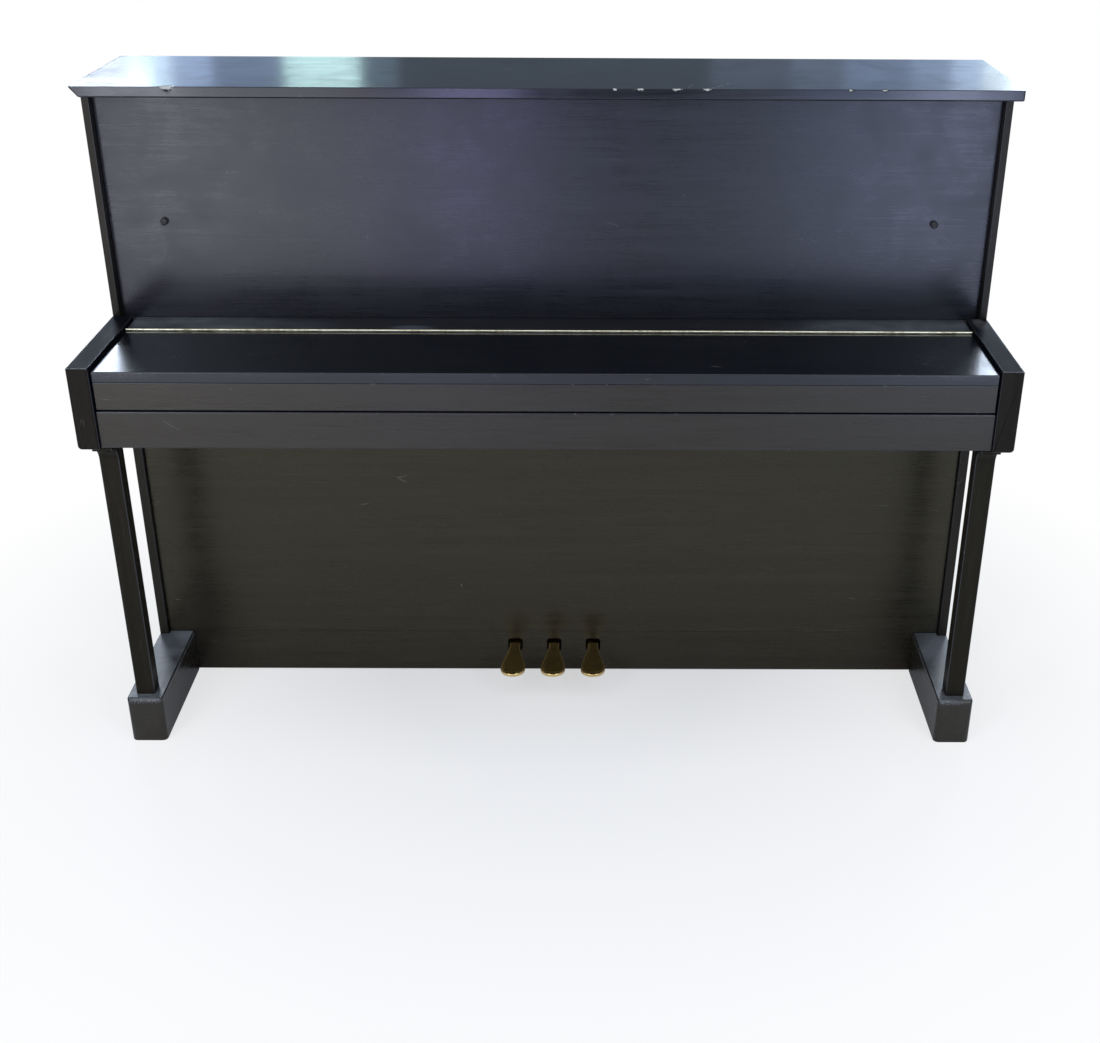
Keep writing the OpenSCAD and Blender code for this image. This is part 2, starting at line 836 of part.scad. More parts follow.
// Iron plate: a rim, the hitch panel below the long bridge, two bars and the hitch pins.
// The bass bridge stands in an opening of its own.
module iron_plate() {
    rim = 46;
    window = 17;
    bass_end = tenor_from - 1;
    corner = bridge_at(tenor_from) + window * (bridge_side(tenor_from) - bridge_way(tenor_from));
    panel_edge = [for (i = [tenor_from : 4 : notes - 1]) bridge_at(i) + window * bridge_side(i)];
    last = panel_edge[len(panel_edge) - 1];
    bar_y = string_y - bass_step - thick_r - 1.2;
    bar_d = 9.5;
    bar_drop = 130;
    color(iron) {
        along_y(plate_y, plate_back)
            difference() {
                translate([-plate_x, plate_z]) square([2 * plate_x, block_z - plate_z]);
                polygon(concat(
                    [[-plate_x + rim, block_z - rim / 3],
                        [-plate_x + rim, corner.y - window], corner],
                    panel_edge,
                    [[plate_x - rim, last.y], [plate_x - rim, block_z - rim / 3]]
                ));
                polygon([
                    bridge_at(0) + [-1.5 * window, window],
                    bridge_at(0) + [-1.5 * window, -window],
                    bridge_at(bass_end) + [1.5 * window, -window],
                    bridge_at(bass_end) + [1.5 * window, window]
                ]);
            }
        for (bar = [[bass_break_x, plate_z], [treble_break_x, bridge_z(treble_from) - bar_drop]]) {
            block([bar.x - bar_w / 2, bar_y - bar_d, bar.y],
                [bar.x + bar_w / 2, bar_y, block_z]);
            for (z = [bar.y, block_z - rim / 3])
                block([bar.x - bar_w / 2, bar_y - over, z],
                    [bar.x + bar_w / 2, plate_y + over, z + rim / 3]);
        }
        for (i = [0 : notes - 1])
            for (k = [0 : strands(i) - 1])
                translate([strand_x(i, k, hitch_z(i)), plate_y + over, hitch_z(i) - 3])
                    rotate([90, 0, 0])
                        cylinder(r = 0.8, h = plate_y + over - plane_y(i) + 3);
    }
}

// X of strand k of note i at height z
function strand_x(i, k, z) = string_x(i, z) + (k - (strands(i) - 1) / 2) * strand_step(i);

// Pin row of strand k: the right-hand strand takes the lowest row
function strand_row(i, k) = row_z(strands(i) - 1 - k);

module tuning_pins() {
    color(steel)
        for (i = [0 : notes - 1])
            for (k = [0 : strands(i) - 1]) {
                z = strand_row(i, k);
                offset_x = (tuning_r + core_r + 0.25) / cos(lean(i));
                translate([strand_x(i, k, z) + offset_x, plate_y, z])
                    rotate([90, 0, 0]) cylinder(r = tuning_r, h = tuning_l);
            }
}

// One string, from its hitch pin up to its tuning pin; the bass strings are wound below
module string(i, k) {
    z0 = hitch_z(i) + 1;
    z1 = strand_row(i, k);
    wound_top = end_z(i) - 10;
    slope = cos(lean(i));
    translate([strand_x(i, k, z0), plane_y(i), z0])
        rotate([0, lean(i), 0]) {
            cylinder(r = i < tenor_from ? core_r : wire_r, h = (z1 - z0) / slope, $fn = 16);
            if (i < tenor_from)
                translate([0, 0, 30])
                    cylinder(r = body_r(i), h = (wound_top - z0) / slope - 30, $fn = 16);
        }
}

module strings() {
    color(steel)
        for (i = [0 : notes - 1])
            for (k = [0 : strands(i) - 1])
                string(i, k);
}

// Wooden rim between the plate and the soundboard
module plate_liner() {
    w = 36;
    color(raw_wood)
        difference() {
            block([-plate_x, plate_back, plate_z], [plate_x, board_front, block_z]);
            block([-plate_x + w, plate_back - over, plate_z + w],
                [plate_x - w, board_front + over, block_z + over]);
        }
}

// ---- Keyboard ----

// Rails under the keys, with the pins that the keys rock on
module key_frame() {
    x = keyboard_x;
    bead = 4;
    front_rail_d = 75;
    pin_h = key_z - bed_top + 12;
    color(raw_wood) {
        block([-x, key_front + 5, bed_top], [x, key_front + 5 + front_rail_d, key_z - 12]);
        block([-x, balance_y - 22, bed_top], [x, balance_y + 22, key_z - 1.5]);
        block([-x, balance_y - bead, key_z - 1.6], [x, balance_y + bead, key_z - seat]);
        block([-x, capstan_y - 12, bed_top], [x, key_back, key_z - seat]);
    }
    color(steel)
        for (i = [0 : notes - 1])
            translate([slot_x(i), balance_y, bed_top + 4])
                cylinder(r = key_pin_r, h = pin_h);
}

// Plan of a key behind its head: straight to the balance rail, then splayed to its wippen
function stick_right(i, right) = [
    [right, balance_y + 14], [note_x(i) + stick_w / 2, capstan_y - 14],
    [note_x(i) + stick_w / 2, key_back]
];
function stick_left(i, left) = [
    [note_x(i) - stick_w / 2, key_back], [note_x(i) - stick_w / 2, capstan_y - 14],
    [left, balance_y + 14]
];

// Balance hole and capstan of key i
module key_body(i) {
    difference() {
        along_z(key_z, white_z) children();
        translate([slot_x(i), balance_y, key_z - over])
            cylinder(r = key_bore_r, h = stick_h + 2 * over);
    }
    translate([note_x(i), capstan_y, white_z - over])
        cylinder(r = capstan_r, h = capstan_top - white_z + over);
}

module white_key(i) {
    gap = key_gap / 2;
    head_x0 = c0_x + white_no(i) * white_pitch + gap;
    head_x1 = head_x0 + white_pitch - key_gap;
    tail_x0 = i == 0 ? head_x0 : slot_x(i) - slot_pitch / 2 + gap;
    tail_x1 = i == notes - 1 ? head_x1 : slot_x(i) + slot_pitch / 2 - gap;
    head_y = key_front + head_l;
    y0 = head_y + (tail_x0 < head_x0 ? key_gap : 0);
    y1 = head_y + (tail_x1 > head_x1 ? key_gap : 0);
    key_body(i)
        polygon(concat(
            [[head_x0, key_front], [head_x1, key_front], [head_x1, y1], [tail_x1, y1]],
            stick_right(i, tail_x1), stick_left(i, tail_x0),
            [[tail_x0, y0], [head_x0, y0]]
        ));
}

module black_key(i) {
    half = (slot_pitch - key_gap) / 2;
    y0 = key_front + head_l + key_gap;
    y1 = key_front + head_l + cap_l;
    key_body(i)
        polygon(concat(
            [[slot_x(i) - half, y0], [slot_x(i) + half, y0]],
            stick_right(i, slot_x(i) + half), stick_left(i, slot_x(i) - half)
        ));
    along_x(slot_x(i) - cap_w / 2, slot_x(i) + cap_w / 2)
        polygon([
            [y0, white_z - over], [y1, white_z - over], [y1, cap_z],
            [y0 + 9, cap_z], [y0 + 5, cap_z - 1.2], [y0, white_z]
        ]);
}

module white_keys(group) {
    color(ivory)
        for (i = notes_of(group))
            white_key(i);
}

module white_keys_ceg() {
    white_keys(whites_ceg);
}

module white_keys_dfa() {
    white_keys(whites_dfa);
}

module white_keys_b() {
    white_keys(whites_b);
}

module black_keys() {
    color(rubber)
        for (i = notes_of(blacks))
            black_key(i);
}

// ---- Action ----

// Wippen with its heel, jack and back check; the origin is its pivot
module wippen() {
    heel_h = wippen_z - capstan_top - 0.4;
    jack_y = -wippen_y + hammer_y - 16;
    jack_top = hammer_rise - 15.5;
    difference() {
        along_x(-butt_w / 2, butt_w / 2) {
            polygon([
                [6, 5], [3, 7], [-8, 7], [-wippen_reach - 14, 4], [-wippen_reach - 14, -4],
                [-wippen_reach - 7, -8], [-wippen_reach - 7, -heel_h],
                [-wippen_reach + 7, -heel_h], [-wippen_reach + 7, -8], [-8, -9], [3, -7], [6, -5]
            ]);
            polygon([
                [jack_y - 3, 0], [jack_y + 9, 0], [jack_y + 9, 12], [jack_y + 4, 16],
                [jack_y + 3, jack_top], [jack_y - 3, jack_top]
            ]);
        }
        block([-fork_w / 2, -9, -20], [fork_w / 2, 20, 20]);
        rod_x([0, 0, 0], bush_r, 2 * butt_w);
    }
    translate([0, -wippen_reach - 8, 0]) cylinder(r = 1.2, h = 42, $fn = 16);
    block([-butt_w / 2 + 1, -wippen_reach - 13, 38], [butt_w / 2 - 1, -wippen_reach - 5, 58]);
}

module wippens(group) {
    color(raw_wood)
        for (i = notes_of(group))
            translate([note_x(i), wippen_y, wippen_z]) wippen();
}

module wippens_ceg() {
    wippens(whites_ceg);
}

module wippens_dfa() {
    wippens(whites_dfa);
}

module wippens_b() {
    wippens(whites_b);
}

module wippens_black() {
    wippens(blacks);
}

// Hammer, drawn as it stands when it strikes; the origin is its pivot. Its catcher stands
// this far in front of the pivot
catcher_y = 30;
module hammer(nose) {
    tip_r = 7;
    difference() {
        along_x(-butt_w / 2, butt_w / 2) {
            polygon([[-12, -9], [8, -9], [8, 10], [4, 18], [-4, 18], [-12, 8]]);
            translate([-catcher_y, 0]) {
                polygon([[2, 1], [catcher_y - 11, 1], [catcher_y - 11, 6], [2, 6]]);
                polygon([[-3, -5], [3, -5], [3, 11], [-3, 11]]);
            }
        }
        block([-fork_w / 2, -11, -10], [fork_w / 2, 20, 7]);
        rod_x([0, 0, 0], bush_r, 2 * butt_w);
    }
    translate([0, 0, 16]) cylinder(r = shank_r, h = hammer_l - 22);
    along_x(-head_w / 2, head_w / 2)
        translate([0, hammer_l]) {
            polygon([
                [-9, -11], [nose - tip_r - 12, -12], [nose - tip_r, -tip_r],
                [nose - tip_r, tip_r], [nose - tip_r - 12, 13], [-9, 8]
            ]);
            translate([nose - tip_r, 0]) circle(tip_r);
        }
}

module hammers(group) {
    color(felt)
        for (i = notes_of(group))
            translate([note_x(i), hammer_y, hammer_z])
                rotate([hammer_throw, 0, 0])
                    hammer(i < tenor_from ? nose_reach - bass_step - thick_r + wire_r : nose_reach);
}

module hammers_ceg() {
    hammers(whites_ceg);
}

module hammers_dfa() {
    hammers(whites_dfa);
}

module hammers_b() {
    hammers(whites_b);
}

module hammers_black() {
    hammers(blacks);
}

// Tongue that carries a pivot pin at p; its foot reaches to z, in or out of the rail
module tongue(p, z) {
    half = 4.5;
    block([p.x - tongue_w / 2, p.y - half, min(z, p.z - 4)],
        [p.x + tongue_w / 2, p.y + half, max(z, p.z + 4)]);
    rod_x(p, pin_r, butt_w);
}

// Rail that carries the flanges of the wippens, hammers and dampers
module action_rail() {
    x = keyboard_x - 2;
    color(dark_wood) {
        block([-x, rail_y0, rail_z0], [x, rail_y1, rail_z1]);
        difference() {
            block([-x, rail_y1 - over, rail_z0], [x, wippen_y + 5, rail_z0 + 9]);
            for (bar_x = [bass_break_x, treble_break_x])
                block([bar_x - bar_w / 2 - 2, rail_y1, rail_z0 - over],
                    [bar_x + bar_w / 2 + 2, wippen_y + 6, rail_z1]);
        }
        for (i = [0 : notes - 1]) {
            tongue([note_x(i), wippen_y, wippen_z], rail_z0 + over);
            tongue([note_x(i), hammer_y, hammer_z], rail_z1 - over);
            if (i <= last_damper)
                block([note_x(i) - tongue_w / 2, rail_y1 - over, damper_z - 12],
                    [note_x(i) + tongue_w / 2, damper_y + 4, damper_z + 3.5]);
            if (i <= last_damper)
                rod_x([note_x(i), damper_y, damper_z], pin_r, butt_w);
        }
    }
}

// Iron brackets that stand on the key bed behind the keys and hold both rails
bracket_t = 6;
bracket_at = [-(keyboard_x + 14), bass_break_x, treble_break_x, keyboard_x + 14];
module action_brackets() {
    foot_y0 = key_back + 2;
    foot_y1 = case_y + bed_back;
    color(iron)
        for (x = bracket_at)
            along_x(x - bracket_t / 2, x + bracket_t / 2)
                polygon([
                    [foot_y0, bed_top], [foot_y1, bed_top], [foot_y1, rail_z0 - 40],
                    [rail_y1, rail_z0 - seat], [rail_y0 - seat, rail_z0 - seat],
                    [rail_y0 - seat, rail_z1 + 6],
                    hammer_point(-shank_r - seat - 2, rest_low - seat),
                    hammer_point(-shank_r - seat - 14, rest_low - seat),
                    [rail_y0 - 16, rail_z0 - 24], [foot_y0, rail_z0 - 70]
                ]);
}

// A point of the hammers' own frame, as they rest, in Y and Z
function hammer_point(y, z) = [
    hammer_y + y * cos(hammer_throw) - z * sin(hammer_throw),
    hammer_z + y * sin(hammer_throw) + z * cos(hammer_throw)
];

// Distance up the shanks to the hammer rail's lower edge
rest_low = 58;
module hammer_rail() {
    x = keyboard_x + 20;
    color(dark_wood)
        translate([0, hammer_y, hammer_z])
            rotate([hammer_throw, 0, 0])
                along_x(-x, x)
                    rounded([-shank_r - seat - 16, rest_low],
                        [-shank_r - seat, rest_low + 18], [3, 1, 1, 3]);
}

// Damper: fork, wire, head and felt; the origin is its pivot, face is the felt's front
module damper(face) {
    difference() {
        block([-butt_w / 2, -5, -7], [butt_w / 2, 5, 12]);
        block([-fork_w / 2, -over - 5, -10], [fork_w / 2, 20, 5]);
        rod_x([0, 0, 0], bush_r, 2 * butt_w);
    }
    translate([0, 0, 10]) cylinder(r = 1.2, h = damper_rise - 6, $fn = 16);
    block([-head_w / 2, min(face - 9, -1.5), damper_rise],
        [head_w / 2, max(face - 5, 1.5), damper_rise + damper_h]);
    block([-head_w / 2, face - 6, damper_rise + 2],
        [head_w / 2, face, damper_rise + damper_h - 2]);
}

module dampers() {
    color(felt)
        for (i = [0 : last_damper])
            translate([note_x(i), damper_y, damper_z])
                damper(plane_y(i) - body_r(i - 2) - seat - damper_y);
}

// ---- Pedals ----

// Base on the bottom board, with two cheeks and a pin for each pedal
module pedal_bracket() {
    base_t = 4;
    cheek = 6;
    gap = pedal_arm_w / 2 + seat;
    color(iron) {
        block([-pedal_pitch - gap - cheek, pivot_y - 16, bottom_top],
            [pedal_pitch + gap + cheek, pivot_y + 16, bottom_top + base_t]);
        for (k = [-1 : 1])
            translate([k * pedal_pitch, pivot_y, 0]) {
                for (s = [-1, 1])
                    translate([s * (gap + cheek / 2), 0, 0])
                        along_x(-cheek / 2, cheek / 2)
                            rounded([-9, bottom_top + 1], [9, pivot_z + 9], [0, 0, 8, 8]);
                rod_x([0, 0, pivot_z], pedal_pin_r, 2 * (gap + cheek));
            }
    }
}

// One pedal: a rounded toe, a narrow arm through the base rail and a tail under its rod
module pedal(k) {
    toe_r = pedal_w / 2;
    tip_y = lower_y - pedal_out;
    half = pedal_arm_w / 2;
    color(brass)
        difference() {
            union() {
                along_z(pedal_z, pedal_z + pedal_t)
                    translate([k * pedal_pitch, 0]) {
                        translate([0, tip_y + toe_r]) circle(toe_r);
                        polygon([
                            [-toe_r, tip_y + toe_r], [toe_r, tip_y + toe_r],
                            [half, lower_y - 24], [half, rod_y + 10],
                            [-half, rod_y + 10], [-half, lower_y - 24]
                        ]);
                    }
                rod_x([k * pedal_pitch, pivot_y, pivot_z], pedal_t / 2 + 1.5, pedal_arm_w);
            }
            rod_x([k * pedal_pitch, pivot_y, pivot_z], pedal_pin_r + seat, 2 * pedal_w);
        }
}

module pedal_left() {
    pedal(-1);
}

module pedal_middle() {
    pedal(0);
}

module pedal_right() {
    pedal(1);
}

// Rod from a pedal's tail up through the guide behind the key bed
module pedal_rod(k) {
    color(raw_wood)
        translate([k * pedal_pitch, rod_y, pedal_z + pedal_t + 0.6])
            cylinder(r = rod_r, h = rod_top - pedal_z - pedal_t - 0.6);
}

module pedal_rod_left() {
    pedal_rod(-1);
}

module pedal_rod_middle() {
    pedal_rod(0);
}

module pedal_rod_right() {
    pedal_rod(1);
}

side_left();
side_right();
arm_left();
arm_right();
leg_left();
leg_right();
toe_block_left();
toe_block_right();
upper_panel();
panel_buttons();
lower_panel();
base_rail();
bottom_board();
top_lid();
lid_hinges_case();
lid_hinges_lid();
key_bed();
key_slip();
key_blocks();
nameboard();
fallboard_rear();
fallboard_flap();
fallboard_fascia();
fallboard_hinge_fixed();
fallboard_hinge_moving();
music_shelf();
shelf_hinges();
back_frame();
pin_block();
soundboard();
ribs();
bridges();
iron_plate();
plate_liner();
tuning_pins();
strings();
key_frame();
white_keys_ceg();
white_keys_dfa();
white_keys_b();
black_keys();
wippens_ceg();
wippens_dfa();
wippens_b();
wippens_black();
hammers_ceg();
hammers_dfa();
hammers_b();
hammers_black();
action_rail();
action_brackets();
hammer_rail();
dampers();
pedal_bracket();
pedal_left();
pedal_middle();
pedal_right();
pedal_rod_left();
pedal_rod_middle();
pedal_rod_right();
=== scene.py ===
"""Looks of the upright piano: satin black case, brass hinges and pedals, keyboard, action and strung back.

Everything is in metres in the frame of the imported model: +X to the player's right, +Y to the back, +Z up.
"""

import math

import bmesh
import bpy
import numpy as np
from mathutils import Matrix, Vector

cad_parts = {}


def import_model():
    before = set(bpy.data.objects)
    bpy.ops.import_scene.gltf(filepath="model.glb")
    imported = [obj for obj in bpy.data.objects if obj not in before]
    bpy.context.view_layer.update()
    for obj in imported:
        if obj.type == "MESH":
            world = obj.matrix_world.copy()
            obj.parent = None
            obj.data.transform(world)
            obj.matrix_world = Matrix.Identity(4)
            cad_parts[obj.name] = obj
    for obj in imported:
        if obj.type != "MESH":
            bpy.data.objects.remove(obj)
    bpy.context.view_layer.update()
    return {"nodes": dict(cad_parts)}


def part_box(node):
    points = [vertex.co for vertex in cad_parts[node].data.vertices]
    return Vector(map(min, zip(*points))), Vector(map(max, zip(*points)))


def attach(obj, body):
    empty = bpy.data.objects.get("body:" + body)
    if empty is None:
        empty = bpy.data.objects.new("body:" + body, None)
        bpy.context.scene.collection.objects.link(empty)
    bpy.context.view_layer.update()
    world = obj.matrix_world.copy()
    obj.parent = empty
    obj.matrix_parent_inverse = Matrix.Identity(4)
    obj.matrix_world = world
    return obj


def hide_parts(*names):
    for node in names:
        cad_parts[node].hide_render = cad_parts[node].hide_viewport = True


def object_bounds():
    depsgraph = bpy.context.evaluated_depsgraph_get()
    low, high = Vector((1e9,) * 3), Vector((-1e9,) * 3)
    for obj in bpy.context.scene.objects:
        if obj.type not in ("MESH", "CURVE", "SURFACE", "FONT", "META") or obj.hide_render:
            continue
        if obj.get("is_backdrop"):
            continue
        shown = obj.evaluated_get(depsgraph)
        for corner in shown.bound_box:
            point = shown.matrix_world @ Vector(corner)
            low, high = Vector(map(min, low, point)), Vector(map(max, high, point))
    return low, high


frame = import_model()
MM = 0.001


# ---- Node recipes ----


class Recipe:
    """The nodes of one finish, all read on Object coordinates."""

    def __init__(self, name, **plain):
        self.material = bpy.data.materials.new(name)
        self.material.use_nodes = True
        self.tree = self.material.node_tree
        self.shader = self.tree.nodes["Principled BSDF"]
        self.place = self.add("ShaderNodeTexCoord").outputs["Object"]
        for socket, value in plain.items():
            self.shader.inputs[socket.replace("_", " ")].default_value = value

    def add(self, kind, feeds=None, **settings):
        node = self.tree.nodes.new(kind)
        for key, value in settings.items():
            setattr(node, key, value)
        for key, value in (feeds or {}).items():
            self.feed(node.inputs[key], value)
        return node

    def feed(self, socket, value):
        if isinstance(value, bpy.types.NodeSocket):
            self.tree.links.new(value, socket)
        else:
            socket.default_value = value

    def noise(self, scale, detail=4.0, rough=0.55, turn=(0, 0, 0), bend=0.0):
        """Noise whose scale is given for X, Y and Z, after turning."""
        scale = (scale,) * 3 if np.isscalar(scale) else tuple(scale)
        turned = {"Vector": self.place, "Scale": scale, "Rotation": turn}
        at = self.add("ShaderNodeMapping", turned).outputs[0]
        feeds = {"Vector": at, "Scale": 1.0, "Detail": detail, "Roughness": rough, "Distortion": bend}
        return self.add("ShaderNodeTexNoise", feeds).outputs[0]

    def axis(self, k):
        return self.add("ShaderNodeSeparateXYZ", {0: self.place}).outputs[k]

    def calc(self, operation, a, b=0.0):
        return self.add("ShaderNodeMath", {0: a, 1: b}, operation=operation).outputs[0]

    def times(self, share, *others):
        """Product of all the values."""
        for other in others:
            share = self.calc("MULTIPLY", share, other)
        return share

    def vector(self, operation, *feeds):
        return self.add("ShaderNodeVectorMath", dict(enumerate(feeds)), operation=operation).outputs

    def ramp(self, value, start, stop, low=0.0, high=1.0):
        """low below start, high above stop, and an even slope between."""
        feeds = {0: value, 1: start, 2: stop, 3: low, 4: high}
        return self.add("ShaderNodeMapRange", feeds).outputs[0]

    def blend(self, share, a, b):
        node = self.add("ShaderNodeMix", data_type="RGBA")
        self.feed(node.inputs["Factor"], share)
        for socket, value in zip(node.inputs[6:8], (a, b)):
            self.feed(socket, value if isinstance(value, bpy.types.NodeSocket) else (*value, 1))
        return node.outputs[2]

    def bump(self, height, depth):
        feeds = {"Height": height, "Strength": 1.0, "Distance": depth}
        self.feed(self.shader.inputs["Normal"], self.add("ShaderNodeBump", feeds).outputs[0])

    def paint(self, colour, roughness=None):
        self.feed(self.shader.inputs["Base Color"], colour)
        if roughness is not None:
            self.feed(self.shader.inputs["Roughness"], roughness)
        return self.material


def stretched(along, across, lengthwise):
    """Noise scale of a grain that runs along one axis."""
    return tuple(lengthwise if axis == along else across for axis in "xyz")


def near(recipe, spot, reach):
    """1 inside a ragged patch round a spot, 0 outside: distance in units of its reach, plus noise."""
    at = recipe.vector("SUBTRACT", recipe.place, spot)[0]
    scaled = recipe.vector("MULTIPLY", at, tuple(1 / r for r in reach))[0]
    far = recipe.vector("LENGTH", scaled)["Value"]
    ragged = recipe.calc("ADD", far, recipe.ramp(recipe.noise(520, 4), 0.25, 0.75, -0.7, 0.7))
    return recipe.ramp(ragged, 0.8, 1.0, 1.0, 0.0)


def stroke(recipe, start, end, half_width):
    """1 along a thin broken stroke from start to end on a level board, 0 elsewhere.

    The distance across the stroke, wavered by noise, is held against its half width, and the
    distance along it against its length.
    """
    start, end = np.array(start), np.array(end)
    length = float(np.linalg.norm(end - start))
    ahead = (end - start) / length
    across = (-ahead[1], ahead[0], 0.0)
    fade = 4 * MM
    at = recipe.vector("SUBTRACT", recipe.place, tuple(start))[0]
    far = recipe.vector("DOT_PRODUCT", at, across)["Value"]
    gone = recipe.vector("DOT_PRODUCT", at, tuple(ahead))["Value"]
    far = recipe.calc("ADD", far, recipe.ramp(recipe.noise(60, 3), 0.3, 0.7, -half_width, half_width))
    line = recipe.ramp(recipe.calc("ABSOLUTE", far), half_width * 0.6, half_width, 1.0, 0.0)
    rise = recipe.ramp(gone, 0, fade)
    fall = recipe.ramp(gone, length - fade, length, 1.0, 0.0)
    broken = recipe.ramp(recipe.noise(210, 3), 0.42, 0.55)
    return recipe.times(line, rise, fall, broken)


# Lacquer tones, each from the streak's shade to its light, then tints of the reflection
COOL = ((0.0072, 0.0078, 0.0105), (0.024, 0.026, 0.032))
# Black lacquer tone warmed as a painted reflection of the brown floor, for the lower and front boards
WARM_PAINTED_REFLECTION = ((0.0090, 0.0078, 0.0056), (0.026, 0.023, 0.018))
# Painted shade: a darker tone for the boards that face up, the arm tops, key blocks and flap
DARK_PAINTED_SHADE = ((0.0040, 0.0046, 0.0066), (0.012, 0.0135, 0.018))
BROWN = (0.97, 0.90, 0.78)
OLIVE = (1.0, 0.90, 0.60)
BLUE = (0.76, 0.87, 1.0)

# Undercoat where the lacquer is gone
HAIRLINE_TONE = (0.42, 0.41, 0.38)
SCORE_TONE = (0.5, 0.5, 0.48)
CHIP_TONE = (0.46, 0.45, 0.41)


def hairlines_and_specks(recipe, along):
    """Share of fine bent hairlines and small dots, each only in some places."""
    line = recipe.noise(stretched(along, 16, 5), 1.5, 0.4, (0.4, 0.3, 0.7), 0.5)
    line = recipe.calc("ABSOLUTE", recipe.calc("SUBTRACT", line, 0.5))
    line = recipe.ramp(line, 0.001, 0.0025, 1.0, 0.0)
    part = recipe.ramp(recipe.noise(24, 3), 0.62, 0.68)
    cells = {"Vector": recipe.place, "Scale": 30.0, "Randomness": 1.0}
    speck = recipe.add("ShaderNodeTexVoronoi", cells).outputs["Distance"]
    dot = recipe.ramp(speck, 0.018, 0.034, 1.0, 0.0)
    some = recipe.ramp(recipe.noise(6, 2), 0.57, 0.62)
    return recipe.calc("MAXIMUM", recipe.times(line, part, 0.6), recipe.times(dot, some))


def black_lacquer(
    name, along, wear, chips=(), tint=COOL, strokes=(), rubs_and_glare=(), satin=0.11, grain=0.05, shine=0.5,
    glow=(1, 1, 1), haze=0.0, dust=(0.30, 0.30, 0.30),
):
    """Black lacquer with fine brush streaks along one axis, hairlines, specks, rubs and chips; on some
    boards the rubs' tone is a painted reflection.

    wear is the strength of the hairlines and specks. satin is the least roughness and grain how
    much the streaks add to it. shine and glow are the strength and tint of the reflection, haze
    and dust the roughness and the tone that the rubbed places gain. On the toe blocks, the hinge
    strip's ends and the flap's ends that tone is partly a painted reflection. tint is the lacquer's
    tone, which on some boards is warmed as a painted reflection or darkened as painted shade.
    """
    recipe = Recipe(name, Specular_IOR_Level=shine, Specular_Tint=(*glow, 1))
    streak = recipe.noise(stretched(along, 460, 13), 5, 0.6)
    brush = recipe.noise(stretched(along, 60, 2.5), 4, 0.55)
    cloud = recipe.noise(2.3, 5, 0.6)
    smudge = recipe.noise(11, 6, 0.62, bend=0.6)
    fine, coarse = recipe.ramp(streak, 0.32, 0.74), recipe.ramp(brush, 0.3, 0.72)
    share = recipe.times(fine, coarse, recipe.ramp(cloud, 0.3, 0.7, 0.45, 1.0))
    colour = recipe.blend(share, *tint)
    marks = hairlines_and_specks(recipe, along)
    colour = recipe.blend(recipe.times(marks, wear), colour, HAIRLINE_TONE)
    for start, end, half_width in strokes:
        scored = recipe.times(stroke(recipe, start, end, half_width), 0.55)
        colour = recipe.blend(scored, colour, SCORE_TONE)
    dull = recipe.ramp(streak, 0.32, 0.72, satin, satin + grain)
    dull = recipe.calc("ADD", dull, recipe.ramp(brush, 0.3, 0.7, -0.3 * grain, 0.3 * grain))
    roughness = recipe.calc("ADD", dull, recipe.ramp(smudge, 0.35, 0.7, 0.0, 0.07))
    for spot, reach in rubs_and_glare:
        # Each rub is rougher and takes the dust tone, which on the toe blocks, the hinge strip and the flap
        # is partly a painted reflection
        patch = near(recipe, spot, reach)
        dust_and_glare_share = recipe.times(patch, recipe.ramp(smudge, 0.35, 0.7, 0.05, 0.3))
        colour = recipe.blend(dust_and_glare_share, colour, dust)
        roughness = recipe.calc("ADD", roughness, recipe.times(patch, haze))
    if chips:
        hollow = near(recipe, *chips[0])
        for spot, reach in chips[1:]:
            hollow = recipe.calc("MAXIMUM", hollow, near(recipe, spot, reach))
        colour = recipe.blend(hollow, colour, CHIP_TONE)
        roughness = recipe.calc("MAXIMUM", roughness, recipe.times(hollow, 0.8))
    height = recipe.calc("ADD", streak, recipe.times(brush, 0.9))
    recipe.bump(height, 0.0006 * grain)
    return recipe.paint(colour, roughness)


def worn_arris(name):
    """Rounded edge of a lacquered board: rubbed thin in places, down to grey undercoat."""
    recipe = Recipe(name, Specular_IOR_Level=0.5)
    rub = recipe.ramp(recipe.noise(60, 5, 0.65), 0.60, 0.74)
    some = recipe.ramp(recipe.noise(5, 3), 0.42, 0.62)
    share = recipe.times(rub, some)
    colour = recipe.blend(share, (0.012, 0.0125, 0.015), (0.11, 0.105, 0.095))
    recipe.bump(recipe.noise(320, 3), 0.0001)
    return recipe.paint(colour, recipe.ramp(share, 0, 1, 0.26, 0.5))


def timber(name, along, light, dark, across, roughness, turn=(0, 0, 0)):
    """Bare or varnished wood: growth rings from folded noise along the grain, with fine pores."""
    recipe = Recipe(name, Specular_IOR_Level=0.35)
    ring = recipe.noise(stretched(along, across, across * 0.04), 3, 0.5, turn, 0.4)
    fold = recipe.calc("PINGPONG", recipe.times(ring, 14.0), 1.0)
    pore = recipe.noise(stretched(along, across * 30, across * 0.7), 3, 0.6, turn)
    cloud = recipe.noise(3.1, 3)
    share = recipe.times(recipe.ramp(fold, 0.15, 1.0), recipe.ramp(pore, 0.25, 0.7, 0.35, 1.0))
    colour = recipe.blend(share, light, dark)
    aged = tuple(0.72 * c for c in light)
    colour = recipe.blend(recipe.ramp(cloud, 0.5, 0.8, 0.0, 0.45), colour, aged)
    recipe.bump(recipe.calc("ADD", pore, recipe.times(fold, 0.3)), 0.00012)
    return recipe.paint(colour, recipe.ramp(pore, 0.2, 0.8, roughness - 0.06, roughness + 0.1))


